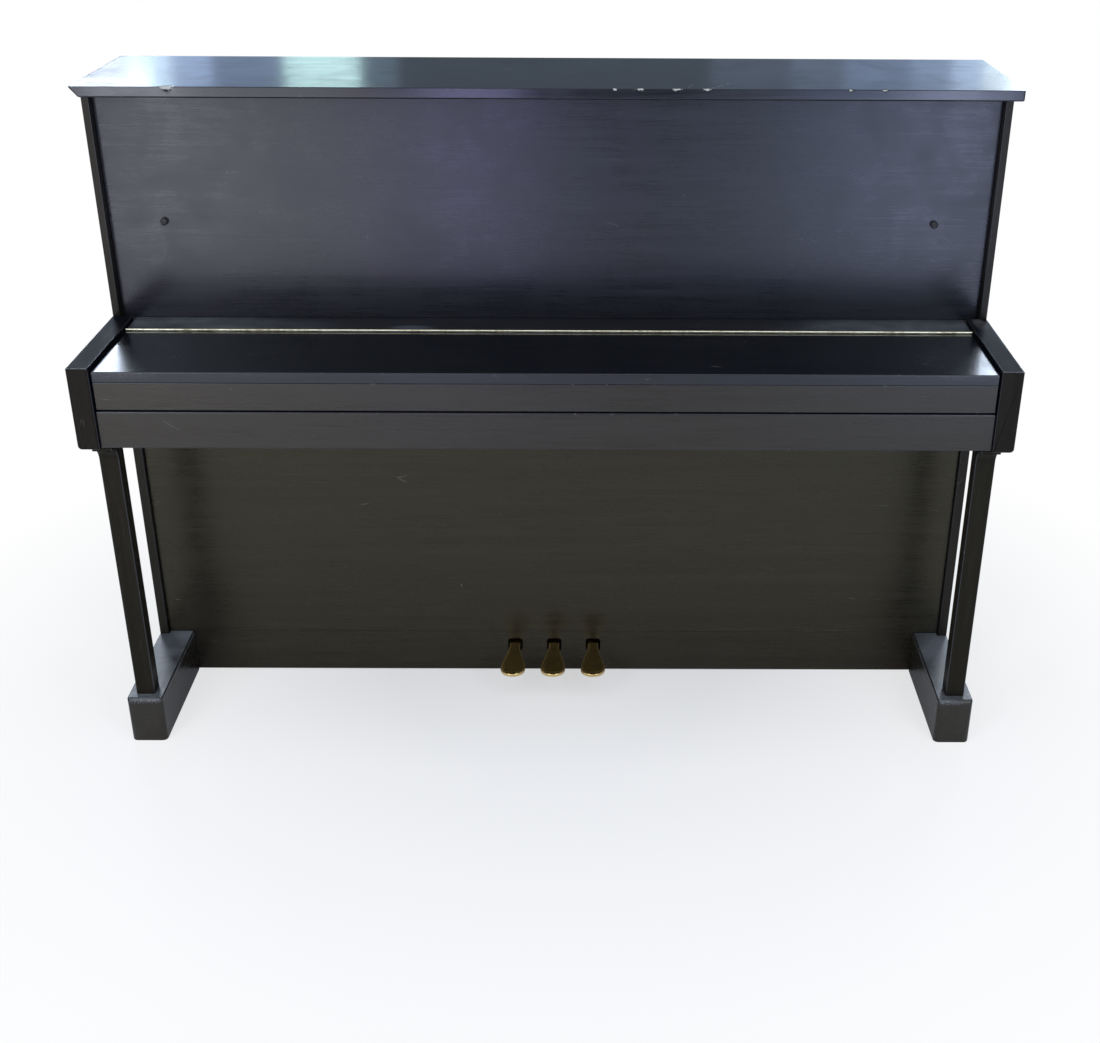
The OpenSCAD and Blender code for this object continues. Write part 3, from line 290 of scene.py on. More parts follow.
def metal(name, bright, dull, roughness, speck, spread=(0.5, 0.72)):
    """Metal with tarnish patches and fine handling marks."""
    recipe = Recipe(name, Metallic=1.0)
    patch = recipe.noise(speck, 5, 0.6)
    broad = recipe.noise(speck * 0.12, 3)
    share = recipe.ramp(recipe.times(recipe.calc("ADD", patch, broad), 0.5), *spread)
    recipe.bump(patch, 0.00005)
    colour = recipe.blend(share, bright, dull)
    return recipe.paint(colour, recipe.ramp(share, 0, 1, roughness, roughness + 0.25))


def painted_iron(name, base, shine):
    """Cast iron under metallic paint: a sandy surface with soft cloudiness."""
    recipe = Recipe(name, Metallic=0.55, Specular_IOR_Level=0.5)
    sand = recipe.noise(240, 5, 0.7)
    cloud = recipe.noise(5, 4)
    colour = recipe.blend(recipe.ramp(cloud, 0.35, 0.7), base, tuple(0.72 * c for c in base))
    recipe.bump(sand, 0.0004)
    return recipe.paint(colour, recipe.ramp(sand, 0.3, 0.7, shine, shine + 0.14))


def felt_and_wood(name, cases, fallback):
    """Several plain-coloured parts of one node, told apart by Object Y and Z.

    cases holds pairs of a tone and its tests. A test is an axis, a sign and a limit, and a tone
    shows where sign * coordinate is above sign * limit for all its tests. fallback shows elsewhere.
    """
    recipe = Recipe(name, Roughness=0.82, Specular_IOR_Level=0.25)
    fibre = recipe.noise(900, 4, 0.7)
    grain = recipe.noise((60, 60, 500), 3)
    colour = recipe.blend(recipe.ramp(grain, 0.3, 0.7), fallback, tuple(0.7 * c for c in fallback))
    for tone, tests in cases:
        inside = None
        for k, sign, limit in tests:
            place = recipe.times(recipe.axis(k), sign)
            step = recipe.ramp(place, sign * limit, sign * limit + 0.4 * MM)
            inside = step if inside is None else recipe.times(inside, step)
        shade = recipe.blend(recipe.ramp(fibre, 0.3, 0.7), tone, tuple(0.84 * c for c in tone))
        colour = recipe.blend(inside, colour, shade)
    recipe.bump(fibre, 0.00025)
    return recipe.paint(colour)


# ---- Surfaces ----


def placed(name, mesh, body):
    """A piece at the origin whose shading follows its large faces, on a body."""
    piece = bpy.data.objects.new(name, mesh)
    bpy.context.scene.collection.objects.link(piece)
    shading = piece.modifiers.new("face_weighted", "WEIGHTED_NORMAL")
    shading.mode = "FACE_AREA"
    shading.weight = 100
    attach(piece, body)
    return piece


def surface(name, corners, faces, materials, body, second=None):
    """A closed mesh with outward faces; the faces flagged in second take the second material."""
    mesh = bpy.data.meshes.new(name)
    mesh.from_pydata(np.asarray(corners).tolist(), [], faces)
    for material in materials:
        mesh.materials.append(material)
    if second is not None:
        mesh.polygons.foreach_set("material_index", np.asarray(second, np.int32))
    tidy = bmesh.new()
    tidy.from_mesh(mesh)
    bmesh.ops.remove_doubles(tidy, verts=tidy.verts, dist=1e-7)
    bmesh.ops.recalc_face_normals(tidy, faces=tidy.faces)
    tidy.to_mesh(mesh)
    tidy.free()
    mesh.polygons.foreach_set("use_smooth", np.full(len(mesh.polygons), True))
    mesh.update()
    return placed(name, mesh, body)


def rings_to_faces(count, around):
    """Quads between neighbouring rings of a stack, and one flat face on each end."""
    i, j = np.meshgrid(np.arange(count - 1), np.arange(around), indexing="ij")
    k = (j + 1) % around
    quads = np.stack([i * around + j, i * around + k, (i + 1) * around + k, (i + 1) * around + j], -1)
    ends = [list(range(around)), list(range((count - 1) * around, count * around))]
    return quads.reshape(-1, 4).tolist() + ends


def softened(corners, radii, steps):
    """Closed outline whose corners are arcs of the given radii, tangent to both sides."""
    corners = np.asarray(corners, float)
    radii = np.asarray(radii, float)
    back = np.roll(corners, 1, 0) - corners
    ahead = np.roll(corners, -1, 0) - corners
    back /= np.linalg.norm(back, axis=1, keepdims=True)
    ahead /= np.linalg.norm(ahead, axis=1, keepdims=True)
    opening = np.arccos(np.clip((back * ahead).sum(1), -1, 1))
    reach = radii / np.tan(opening / 2)
    middle = (back + ahead) / np.linalg.norm(back + ahead, axis=1, keepdims=True)
    centre = corners + middle * (radii / np.sin(opening / 2))[:, None]
    share = np.linspace(0, 1, steps + 1)[None, :, None]
    first = corners + back * reach[:, None] - centre
    last = corners + ahead * reach[:, None] - centre
    turn = (math.pi - opening)[:, None, None]
    arc = np.sin((1 - share) * turn) * first[:, None] + np.sin(share * turn) * last[:, None]
    return (centre[:, None] + arc / np.sin(turn)).reshape(-1, 2)


def drawn_in(outline):
    """Unit inset of each point of an outline: the mitre of its two sides' normals."""
    side = np.roll(outline, -1, 0) - outline
    side /= np.linalg.norm(side, axis=1, keepdims=True)
    normal = np.column_stack([side[:, 1], -side[:, 0]])
    before = np.roll(normal, 1, 0)
    return (normal + before) / (1 + (normal * before).sum(1, keepdims=True))


def board(name, axis, outline, low, high, arris, materials, body):
    """An outline carried along an axis from low to high, drawn in on a quarter circle at both ends.

    The outline is in the other two axes in their order. Each ring is outline minus inset times
    mitre. The second material is on the arrises: the end bands and the outline's short sides.
    """
    steps = 3
    turn = np.linspace(0, math.pi / 2, steps + 1)
    inset = arris * (1 - np.sin(turn))
    rise = arris * (1 - np.cos(turn))
    inset = np.concatenate([inset, inset[::-1]])
    along = np.concatenate([low + rise, high - rise[::-1]])
    ring = outline[None] - inset[:, None, None] * drawn_in(outline)[None]
    line = np.broadcast_to(along[:, None, None], (*ring.shape[:2], 1))
    order = {"x": (line, ring[..., :1], ring[..., 1:]), "y": (ring[..., :1], line, ring[..., 1:])}
    order["z"] = (ring[..., :1], ring[..., 1:], line)
    corners = np.concatenate(order[axis], -1).reshape(-1, 3)
    faces = rings_to_faces(len(along), len(outline))
    length = np.linalg.norm(np.roll(outline, -1, 0) - outline, axis=1)
    narrow = length < 2.2 * arris
    second = np.ones((len(along) - 1, len(outline)), int)
    second[steps] = narrow
    second = np.concatenate([second.ravel(), [0, 0]])
    return surface(name, corners, faces, materials, body, second)


def corners_of(node):
    low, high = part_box(node)
    return np.array(low), np.array(high)


def eased(name, node, arris, materials, body, segments=2, angle=35.0):
    """A node's own shape with its sharp edges rounded, for boards with rebates and slots.

    Edges that turn by more than the angle are bevelled by the arris in that many segments, and
    every corner is held inside the node's box. The second material is on the bevels.
    """
    tidy = bmesh.new()
    tidy.from_mesh(frame["nodes"][node].data)
    bmesh.ops.remove_doubles(tidy, verts=tidy.verts, dist=2e-6)
    bmesh.ops.dissolve_limit(tidy, angle_limit=math.radians(1.0), verts=tidy.verts, edges=tidy.edges)
    sharp = [
        e for e in tidy.edges if len(e.link_faces) == 2 and e.calc_face_angle(0) > math.radians(angle)
    ]
    made = bmesh.ops.bevel(
        tidy, geom=sharp, offset=arris, segments=segments, profile=0.5, affect="EDGES", clamp_overlap=True
    )
    for face in tidy.faces:
        face.material_index = 0
        face.smooth = True
    for face in made["faces"]:
        face.material_index = 1
    bmesh.ops.recalc_face_normals(tidy, faces=tidy.faces)
    low, high = corners_of(node)
    for corner in tidy.verts:
        corner.co = np.clip(corner.co, low, high)
    mesh = bpy.data.meshes.new(name)
    tidy.to_mesh(mesh)
    tidy.free()
    for material in materials:
        mesh.materials.append(material)
    piece = placed(name, mesh, body)
    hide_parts(node)
    return piece


# ---- Finishes of the case ----

# Worn places, some rubs also painted reflection: chips and rubs as a point and a reach along X, Y
# and Z, strokes as start, end and half width
lid_low, lid_high = corners_of("top_lid")
lid_edge_y = lid_low[1] + 1 * MM
CHIPS = [
    ((-0.612, lid_edge_y, lid_high[2] - 1 * MM), (0.011, 0.005, 0.004)),
    ((0.108, lid_edge_y, lid_high[2]), (0.003, 0.003, 0.003)),
    ((0.149, lid_edge_y, lid_high[2]), (0.006, 0.004, 0.003)),
    ((0.208, lid_edge_y, lid_high[2]), (0.007, 0.004, 0.003)),
    ((0.256, lid_edge_y, lid_high[2]), (0.006, 0.004, 0.003)),
    ((0.488, lid_edge_y, lid_high[2]), (0.003, 0.003, 0.003)),
    ((0.543, lid_edge_y, lid_high[2]), (0.004, 0.003, 0.003)),
]
LID_STROKES = [
    ((0.262, lid_low[1] + 0.004, lid_high[2]), (0.300, lid_low[1] + 0.055, lid_high[2]), 0.0009),
    ((0.226, lid_low[1] + 0.010, lid_high[2]), (0.236, lid_low[1] + 0.040, lid_high[2]), 0.0006),
]
strip_low, strip_high = corners_of("fallboard_rear")
arm_low, arm_high = corners_of("arm_right")
flap_low, flap_high = corners_of("fallboard_flap")
# The first of these lies on the hinge strip and just reaches the flap; the other two lie at the flap's
# ends, where a rougher haze and a bluish tone that is painted window glare are added
FLAP_RUBS_AND_GLARE = [
    ((-0.235, strip_low[1] + 0.02, strip_high[2]), (0.035, 0.012, 0.01)),
    ((flap_low[0] + 0.04, flap_low[1] + 0.05, flap_high[2]), (0.075, 0.09, 0.012)),
    ((flap_high[0] - 0.04, flap_low[1] + 0.06, flap_high[2]), (0.075, 0.09, 0.012)),
]
# Lighter ends of the hinge strip: a painted reflection over a real rougher haze
STRIP_RUBS_AND_SHEEN = [
    ((strip_low[0] + 0.06, strip_low[1] + 0.02, strip_high[2]), (0.26, 0.06, 0.02)),
    ((strip_high[0] - 0.06, strip_low[1] + 0.02, strip_high[2]), (0.26, 0.06, 0.02)),
]
# Scuffs on the toe blocks' tops; their pale bluish tone is partly a painted reflection of the windows
TOE_SCUFFS_AND_REFLECTION = []
for toe in ("toe_block_left", "toe_block_right"):
    low, high = corners_of(toe)
    TOE_SCUFFS_AND_REFLECTION.append(((0.5 * (low[0] + high[0]), low[1] + 0.14, high[2]), (0.07, 0.2, 0.008)))
ARM_RUBS = [((0.5 * (arm_low[0] + arm_high[0]), arm_high[1] - 0.03, arm_high[2]), (0.012, 0.03, 0.01))]

lid_black = black_lacquer("lid_lacquer", "x", 0.4, CHIPS, strokes=LID_STROKES)
level_black = black_lacquer("panel_lacquer", "x", 0.25, satin=0.235, grain=0.065)
# Lower and front boards take the warm tone, which is partly a painted reflection of the floor
lower_black = black_lacquer("lower_panel_lacquer", "x", 0.25, tint=WARM_PAINTED_REFLECTION, satin=0.23, grain=0.06, glow=OLIVE)
front_black = black_lacquer("fascia_lacquer", "x", 0.3, tint=WARM_PAINTED_REFLECTION, satin=0.22, grain=0.19, glow=BROWN)
side_black = black_lacquer(
    "side_lacquer", "z", 0.25, tint=WARM_PAINTED_REFLECTION, satin=0.24, grain=0.1, shine=0.2, glow=BROWN
)
leg_black = black_lacquer(
    "leg_lacquer", "z", 0.25, tint=WARM_PAINTED_REFLECTION, satin=0.24, grain=0.08, shine=0.1, glow=OLIVE
)
# The toe tops' pale bluish rub tone is partly a painted reflection
toe_black = black_lacquer(
    "toe_lacquer", "y", 0.3, tint=WARM_PAINTED_REFLECTION, rubs_and_glare=TOE_SCUFFS_AND_REFLECTION, satin=0.22, grain=0.09, glow=BROWN, haze=0.1,
    dust=(0.54, 0.60, 0.68),
)
# The hinge strip's bluish rub tone at its ends is a painted reflection
strip_black = black_lacquer(
    "hinge_strip_lacquer", "x", 0.4, rubs_and_glare=FLAP_RUBS_AND_GLARE[:1] + STRIP_RUBS_AND_SHEEN, satin=0.3, grain=0.1, shine=0.6,
    dust=(0.27, 0.30, 0.35),
)
# Arm tops and the flap take the dark tone, painted shade on boards that face up
arm_black = black_lacquer(
    "arm_lacquer", "y", 0.35, tint=DARK_PAINTED_SHADE, rubs_and_glare=ARM_RUBS, satin=0.34, grain=0.08, shine=0.01, glow=BLUE
)
arm_front_black = black_lacquer(
    "arm_front_lacquer", "z", 0.3, tint=WARM_PAINTED_REFLECTION, satin=0.3, grain=0.1, shine=0.08, glow=BROWN
)
# The flap's bluish rub tone at its ends is painted glare of the windows
flap_black = black_lacquer(
    "fallboard_lacquer", "x", 0.4, tint=DARK_PAINTED_SHADE, rubs_and_glare=FLAP_RUBS_AND_GLARE, satin=0.08, grain=0.03, haze=0.13,
    dust=(0.05, 0.056, 0.068),
)
rubbed = worn_arris("rubbed_arris")

# Each board's lacquer and the finish of its arrises
LEVEL = (level_black, rubbed)
LOWER = (lower_black, rubbed)
SIDE = (side_black, rubbed)
LEG = (leg_black, rubbed)
TOE = (toe_black, rubbed)
ARM = (arm_black, rubbed)
FLAP = (flap_black, rubbed)
FASCIA = (front_black, rubbed)
STRIP = (strip_black, rubbed)

# ---- Lid ----


def lid():
    """Lid board: a section carried round a rectangle, finely divided in front, dented at each chip.

    Each row of the section is the inset at the left end, the right end, the front and the back,
    and the height. The left end slopes back underneath as far as the case; the front and the
    right end are upright over a small bevel.
    """
    (x0, y0, z0), (x1, y1, z1) = lid_low, lid_high
    lip = z1 - 2 * MM
    side_slope = 14 * MM
    under = 3 * MM
    corner = 1.2 * MM
    arc = np.linspace(0, math.pi / 2, 5)

    def around(left, right, front, back, z):
        xa, xb = x0 + left + corner, x1 - right - corner
        ya, yb = y0 + front + corner, y1 - back - corner
        line = np.linspace(xa, xb, 700)[1:-1]
        loop = [np.column_stack([line, np.full_like(line, ya - corner)])]
        for cx, cy, start in ((xb, ya, -0.5), (xb, yb, 0.0), (xa, yb, 0.5), (xa, ya, 1.0)):
            bend = arc + start * math.pi
            loop.append(np.column_stack([cx + corner * np.cos(bend), cy + corner * np.sin(bend)]))
        loop = np.concatenate(loop)
        return np.column_stack([loop, np.full(len(loop), z)])

    top_r = 0.9 * MM
    low_r = 0.7 * MM
    turn = np.linspace(0, math.pi / 2, 5)
    slope = [0.0, 0.02, 0.07, 0.13, 0.19, 0.5, 0.85, 0.97, 1.0]
    height = [z0 + (lip - z0) * t for t in slope]
    square = [under * (1 - math.sin(math.acos(max(0.0, 1 - (z - z0) / under)))) for z in height]
    section = [(side_slope * (1 - t), r, r, 0.0, z) for t, r, z in zip(slope, square, height)]
    section.append((0.0, 0.0, 0.0, 0.0, lip + 0.5 * MM))
    for t in turn:
        side, front = top_r * (1 - math.cos(t)), low_r * (1 - math.cos(t))
        section.append((side, side, front, front, z1 - top_r * (1 - math.sin(t))))
    for inset in (1.5 * MM, 4 * MM, 8 * MM):
        side, front = top_r + inset, low_r + inset
        section.append((side, side, front, front, z1))
    ring = np.array([around(*row) for row in section])
    rng = np.random.default_rng(7)
    for spot, reach in CHIPS:
        far = np.sqrt((((ring - np.array(spot)) / np.array(reach)) ** 2).sum(-1))
        dent = np.clip(1 - far, 0, 1) ** 0.7 * (0.75 + 0.5 * rng.random(far.shape))
        ring[..., 2] -= dent * 0.9 * MM
        ring[..., 1] += dent * 1.1 * MM
    corners = ring.reshape(-1, 3)
    faces = rings_to_faces(*ring.shape[:2])
    piece = surface("lid_board", corners, faces, (lid_black,), "lid")
    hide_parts("top_lid")


lid()

# ---- Boards of the case ----


def from_box(name, node, arris, materials, body, radii=None):
    """A straight board in a node's box.

    radii are those of its four long edges, from the low front one round to the high front one.
    """
    low, high = corners_of(node)
    radii = [arris] * 4 if radii is None else radii
    corners = [(low[1], low[2]), (high[1], low[2]), (high[1], high[2]), (low[1], high[2])]
    outline = softened(corners, radii, 4)
    piece = board(name, "x", outline, low[0], high[0], arris, materials, body)
    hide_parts(node)


from_box("upper_front_board", "upper_panel", 0.7 * MM, LEVEL, "case")
from_box("lower_front_board", "lower_panel", 0.7 * MM, LOWER, "case")
from_box("key_slip_board", "key_slip", 0.9 * MM, FASCIA, "case", [2 * MM, 0.8 * MM, 0.8 * MM, 2.2 * MM])
from_box("name_board", "nameboard", 0.7 * MM, LEVEL, "case")
from_box("hinge_strip", "fallboard_rear", 0.6 * MM, STRIP, "case")
flap_radii = np.array([1.5, 0.4, 0.4, 2.0]) * MM
fascia_radii = np.array([2.0, 1.5, 0.4, 1.3]) * MM
from_box("fallboard_lid", "fallboard_flap", 0.9 * MM, FLAP, "fallboard", flap_radii)
from_box("fallboard_front", "fallboard_fascia", 0.9 * MM, FASCIA, "fallboard", fascia_radii)


def arm(side):
    """Arm board along Y, its lower outer edge well rounded, its top in the dark tone that is painted shade
    and its front faces in a warm lacquer that is partly a painted reflection.
    """
    low, high = corners_of("arm_" + side)
    corners = [(low[0], low[2]), (high[0], low[2]), (high[0], high[2]), (low[0], high[2])]
    radii = np.array([6.5, 1.2, 1.2, 1.6]) * MM
    if side == "right":
        radii = radii[[1, 0, 3, 2]]
    outline = softened(corners, radii, 5)
    finishes = (*ARM, arm_front_black)
    piece = board("arm_board_" + side, "y", outline, low[1], high[1], 2.0 * MM, finishes, "case")
    # Front faces take the warm lacquer and the rest keeps the dark one, painted shade on the top
    for face in piece.data.polygons:
        if face.normal.y < -0.9:
            face.material_index = 2
    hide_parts("arm_" + side)


def leg(side):
    """Leg post whose front sweeps forward under the arm: a quarter circle below a square head."""
    low, high = corners_of("leg_" + side)
    cove = 26 * MM
    edge = high[2] - 12 * MM
    face = low[1] + cove
    turn = np.linspace(math.pi / 2, 0, 11)
    hollow = np.column_stack([low[1] + cove * np.cos(turn), edge - cove + cove * np.sin(turn)])
    post = [(face, low[2]), (high[1], low[2]), (high[1], high[2]), (low[1], high[2])]
    outline = np.concatenate([post, hollow])
    piece = board("leg_post_" + side, "x", outline, low[0], high[0], 1.6 * MM, LEG, "case")
    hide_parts("leg_" + side)


for side in ("left", "right"):
    arm(side)
    leg(side)
    eased("side_board_" + side, "side_" + side, 0.9 * MM, SIDE, "case")
    eased("toe_board_" + side, "toe_block_" + side, 2.2 * MM, TOE, "case", 3, 50.0)

eased("base_rail_board", "base_rail", 0.9 * MM, LOWER, "case")
eased("key_block_pair", "key_blocks", 0.9 * MM, ARM, "case")

# ---- Rubber buttons ----


def buttons():
    """Domed rubber buttons: a profile of radius and height turned round Y, with a dimple for the screw."""
    low, high = corners_of("panel_buttons")
    radius = (high[2] - low[2]) / 2
    height = high[1] - low[1]
    dome = 3.5 * MM
    share = np.linspace(0, 1, 8)
    wall = [(0.0, 0.0), (radius, 0.0), (radius, 0.35 * (height - dome))]
    wall += [(radius - 0.35 * MM, 0.45 * (height - dome)), (radius - 0.15 * MM, height - dome)]
    out = (radius - 0.2 * MM) * np.cos(share * 1.33)
    rise = height - dome + dome * np.sin(share * math.pi / 2)
    cap = np.column_stack([out, rise])
    dimple = [(1.5 * MM, height - 0.15 * MM), (1.2 * MM, height - 0.9 * MM), (0.0, height - 1.1 * MM)]
    profile = np.array(wall + cap[1:-1].tolist() + dimple)
    turn = np.linspace(0, 2 * math.pi, 40, endpoint=False)
    rubber = Recipe("button_rubber_black", Roughness=0.62)
    dust = rubber.noise(300, 4)
    rubber.bump(dust, 0.0001)
    rubber.paint(rubber.blend(rubber.ramp(dust, 0.5, 0.75), (0.014, 0.014, 0.015), (0.06, 0.058, 0.055)))
    for side, x in (("left", low[0] + radius), ("right", high[0] - radius)):
        ring = np.empty((len(profile), len(turn), 3))
        ring[..., 0] = x + profile[:, :1] * np.cos(turn)[None]
        ring[..., 1] = high[1] - profile[:, 1:2]
        ring[..., 2] = (low[2] + high[2]) / 2 + profile[:, :1] * np.sin(turn)[None]
        corners = ring.reshape(-1, 3)
        faces = rings_to_faces(len(profile), len(turn))[:-2]
        piece = surface("button_" + side, corners, faces, (rubber.material,), "case")
        if side == "left":
            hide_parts("panel_buttons")


buttons()

# ---- Pedals ----

pedal_brass = metal(
    "pedal_brass_polished", (0.86, 0.63, 0.26), (0.42, 0.27, 0.10), 0.16, 60.0, (0.52, 0.66)
)


def pedal(side):
    """Brass pedal of superellipse sections along Y, from a wide thin toe to a narrow deep arm."""
    low, high = corners_of("pedal_" + side)
    middle = (low[0] + high[0]) / 2
    toe_r = (high[0] - low[0]) / 2
    half_arm = 10 * MM
    z = (low[2] + high[2]) / 2
    thick = 4.5 * MM
    tip, rail, end = low[1], -0.029, high[1]
    share = np.linspace(0, math.pi / 2, 14)
    toe = tip + toe_r * (1 - np.cos(share))
    neck = np.linspace(tip + toe_r, rail, 16)[1:]
    tail = np.concatenate([np.linspace(rail, end - 2 * MM, 18)[1:], [end - 0.8 * MM, end]])
    y = np.concatenate([toe, neck, tail])
    t = np.clip((neck - neck[0]) / (neck[-1] - neck[0]), 0, 1)
    narrowing = toe_r + (half_arm - toe_r) * (t * t * (3 - 2 * t) * 0.35 + t * 0.65)
    width = np.concatenate([toe_r * np.sin(share), narrowing, np.full(len(tail), half_arm)])
    width[-2:] = half_arm - np.array([0.2, 1.0]) * MM
    height = thick * np.clip(0.45 + 0.55 * np.sqrt(np.clip((y - tip) / (9 * MM), 0, 1)), 0, 1)
    height[0] = 0.3 * thick
    height[-1] = thick - 0.8 * MM
    width[0] = 0.05 * MM
    around = np.linspace(0, 2 * math.pi, 40, endpoint=False)
    squareness = 2 / 4.6
    across = np.sign(np.cos(around)) * np.abs(np.cos(around)) ** squareness
    upward = np.sign(np.sin(around)) * np.abs(np.sin(around)) ** squareness
    ring = np.empty((len(y), len(around), 3))
    ring[..., 0] = middle + width[:, None] * across[None]
    ring[..., 1] = y[:, None]
    ring[..., 2] = z + height[:, None] * upward[None]
    corners = ring.reshape(-1, 3)
    faces = rings_to_faces(len(y), len(around))
    body = "pedal_" + side
    piece = surface("pedal_toe_" + side, corners, faces, (pedal_brass,), body)
    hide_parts(body)


for side in ("left", "middle", "right"):
    pedal(side)

# ---- Finishes of the nodes that keep their own shape ----

hinge_brass = metal("hinge_brass_dull", (0.74, 0.71, 0.54), (0.40, 0.35, 0.22), 0.34, 140.0, (0.46, 0.64))
pin_blue = metal("blued_pins", (0.30, 0.33, 0.40), (0.16, 0.16, 0.18), 0.3, 120.0)
bracket_grey = painted_iron("bracket_paint", (0.20, 0.20, 0.21), 0.45)
plate_gold = painted_iron("plate_bronze_paint", (0.46, 0.33, 0.12), 0.34)
# The soundboard's grain slants one way and its ribs' the other
slant = math.radians(45)
SPRUCE = ((0.56, 0.36, 0.15), (0.38, 0.21, 0.075))
PALE_SPRUCE = ((0.60, 0.42, 0.20), (0.42, 0.26, 0.10))
PINE = ((0.46, 0.30, 0.14), (0.28, 0.16, 0.065))
spruce = timber("soundboard_spruce", "x", *SPRUCE, 60.0, 0.34, (0, slant, 0))
rib_spruce = timber("rib_spruce", "x", *PALE_SPRUCE, 60.0, 0.45, (0, -slant, 0))
post_pine = timber("post_pine", "z", *PINE, 24.0, 0.5)
beam_pine = timber("beam_pine", "x", *PINE, 24.0, 0.5)
maple = timber("action_maple", "z", (0.58, 0.41, 0.22), (0.46, 0.30, 0.14), 40.0, 0.5)
beech = timber("bridge_beech", "x", (0.42, 0.25, 0.11), (0.30, 0.16, 0.06), 70.0, 0.5)
block_maple = timber("pin_block_maple", "x", (0.50, 0.33, 0.16), (0.36, 0.21, 0.09), 60.0, 0.45)
stained = timber("stained_inner_wood", "x", (0.10, 0.058, 0.03), (0.045, 0.026, 0.014), 40.0, 0.55)

# Width of the step from one tone to the next
SEAM = 0.2 * MM


def key_finish(name, plastic, height, front, back, roughness):
    """A key in raw wood, with plastic above a height as far as a back end, and on its front face.

    A key whose front is None has plastic on top only.
    """
    recipe = Recipe(name, Specular_IOR_Level=0.5)
    grain = recipe.noise((420, 9, 420), 4)
    wood = recipe.blend(recipe.ramp(grain, 0.3, 0.7), (0.62, 0.46, 0.26), (0.50, 0.35, 0.18))
    tint = recipe.noise((40, 4, 40), 2)
    cover = recipe.blend(recipe.ramp(tint, 0.3, 0.7), plastic, tuple(0.93 * c for c in plastic))
    top = recipe.ramp(recipe.axis(2), height, height + SEAM)
    fore = recipe.ramp(recipe.axis(1), back, back + 0.5 * MM, 1.0, 0.0)
    mask = recipe.times(top, fore)
    if front is not None:
        mask = recipe.calc("MAXIMUM", mask, recipe.ramp(recipe.axis(1), front, front + SEAM, 1.0, 0.0))
    recipe.bump(grain, 0.00008)
    return recipe.paint(recipe.blend(mask, wood, cover), recipe.ramp(mask, 0, 1, 0.62, roughness))


key_front = corners_of("white_keys_ceg")[0][1]
name_low, name_high = corners_of("nameboard")
white_top = name_low[2] - 3 * MM
white_key = key_finish(
    "white_key_cover", (0.80, 0.78, 0.70), white_top - 2.2 * MM, key_front + 1.2 * MM, name_high[1], 0.22
)
black_key = key_finish(
    "black_key_cover", (0.012, 0.012, 0.013), white_top - 4 * MM, None, name_high[1], 0.3
)

# Where felt, wire and wood meet on the action, as places along Y and Z
Y, Z = 1, 2
head_z, felt_y, underfelt_y = 0.926, 0.070, 0.066
wire_low, wire_high, damper_felt_y = 0.8172, 0.881, 0.1375
heel_z, heel_top = 0.7025, 0.7040
WHITE_FELT = (0.80, 0.77, 0.68)
DAMPER_FELT = (0.82, 0.79, 0.70)
RED_FELT = (0.50, 0.06, 0.05)
GREEN_FELT = (0.10, 0.28, 0.12)
WIRE = (0.55, 0.55, 0.57)
hammer_felt = felt_and_wood(
    "hammer_felt_and_maple",
    [
        (WHITE_FELT, [(Z, 1, head_z), (Y, 1, felt_y)]),
        (RED_FELT, [(Z, 1, head_z), (Y, -1, felt_y + SEAM), (Y, 1, underfelt_y)]),
    ],
    (0.55, 0.38, 0.20),
)
damper_felt = felt_and_wood(
    "damper_felt_and_wire",
    [
        (WIRE, [(Z, 1, wire_low), (Z, -1, wire_high)]),
        (DAMPER_FELT, [(Z, 1, wire_high + SEAM), (Y, 1, damper_felt_y)]),
    ],
    (0.50, 0.34, 0.17),
)
wippen_wood = felt_and_wood(
    "wippen_maple_and_felt",
    [
        (GREEN_FELT, [(Z, -1, heel_z)]),
        (RED_FELT, [(Z, 1, heel_z), (Z, -1, heel_top)]),
    ],
    (0.60, 0.43, 0.23),
)


def strings_finish():
    """Plain steel wire; the bass strings, nearer the player, are wound with copper up to a height."""
    recipe = Recipe("string_wire", Metallic=1.0)
    bass_y, winding_top = 0.1479, 0.945
    front = recipe.ramp(recipe.axis(1), bass_y, bass_y + SEAM, 1.0, 0.0)
    below = recipe.ramp(recipe.axis(2), winding_top, winding_top + 1 * MM, 1.0, 0.0)
    copper = recipe.times(front, below)
    coil = recipe.calc("PINGPONG", recipe.times(recipe.axis(2), 900.0), 1.0)
    recipe.bump(recipe.times(coil, copper), 0.0003)
    tarnish = recipe.noise(60, 4)
    steel = recipe.blend(recipe.ramp(tarnish, 0.4, 0.7), (0.66, 0.67, 0.69), (0.46, 0.45, 0.44))
    wound = recipe.blend(recipe.ramp(tarnish, 0.4, 0.7), (0.72, 0.35, 0.17), (0.45, 0.20, 0.09))
    return recipe.paint(recipe.blend(copper, steel, wound), recipe.ramp(tarnish, 0.3, 0.7, 0.24, 0.42))


def shelf_finish():
    """Black shelf board with brass hinge knuckles behind it."""
    low, high = corners_of("music_shelf")
    edge = low[1] + 50 * MM
    recipe = Recipe("shelf_black_and_brass", Specular_IOR_Level=0.5)
    lug = recipe.ramp(recipe.axis(1), edge + 0.0001, edge + 0.0003)
    streak = recipe.noise(stretched("x", 300, 1.6), 5, 0.6)
    black = recipe.blend(recipe.ramp(streak, 0.3, 0.75), (0.0075, 0.0079, 0.0098), (0.03, 0.031, 0.035))
    recipe.feed(recipe.shader.inputs["Metallic"], lug)
    recipe.bump(streak, 0.0002)
    colour = recipe.blend(lug, black, (0.86, 0.66, 0.30))
    return recipe.paint(colour, recipe.ramp(streak, 0.3, 0.75, 0.2, 0.34))


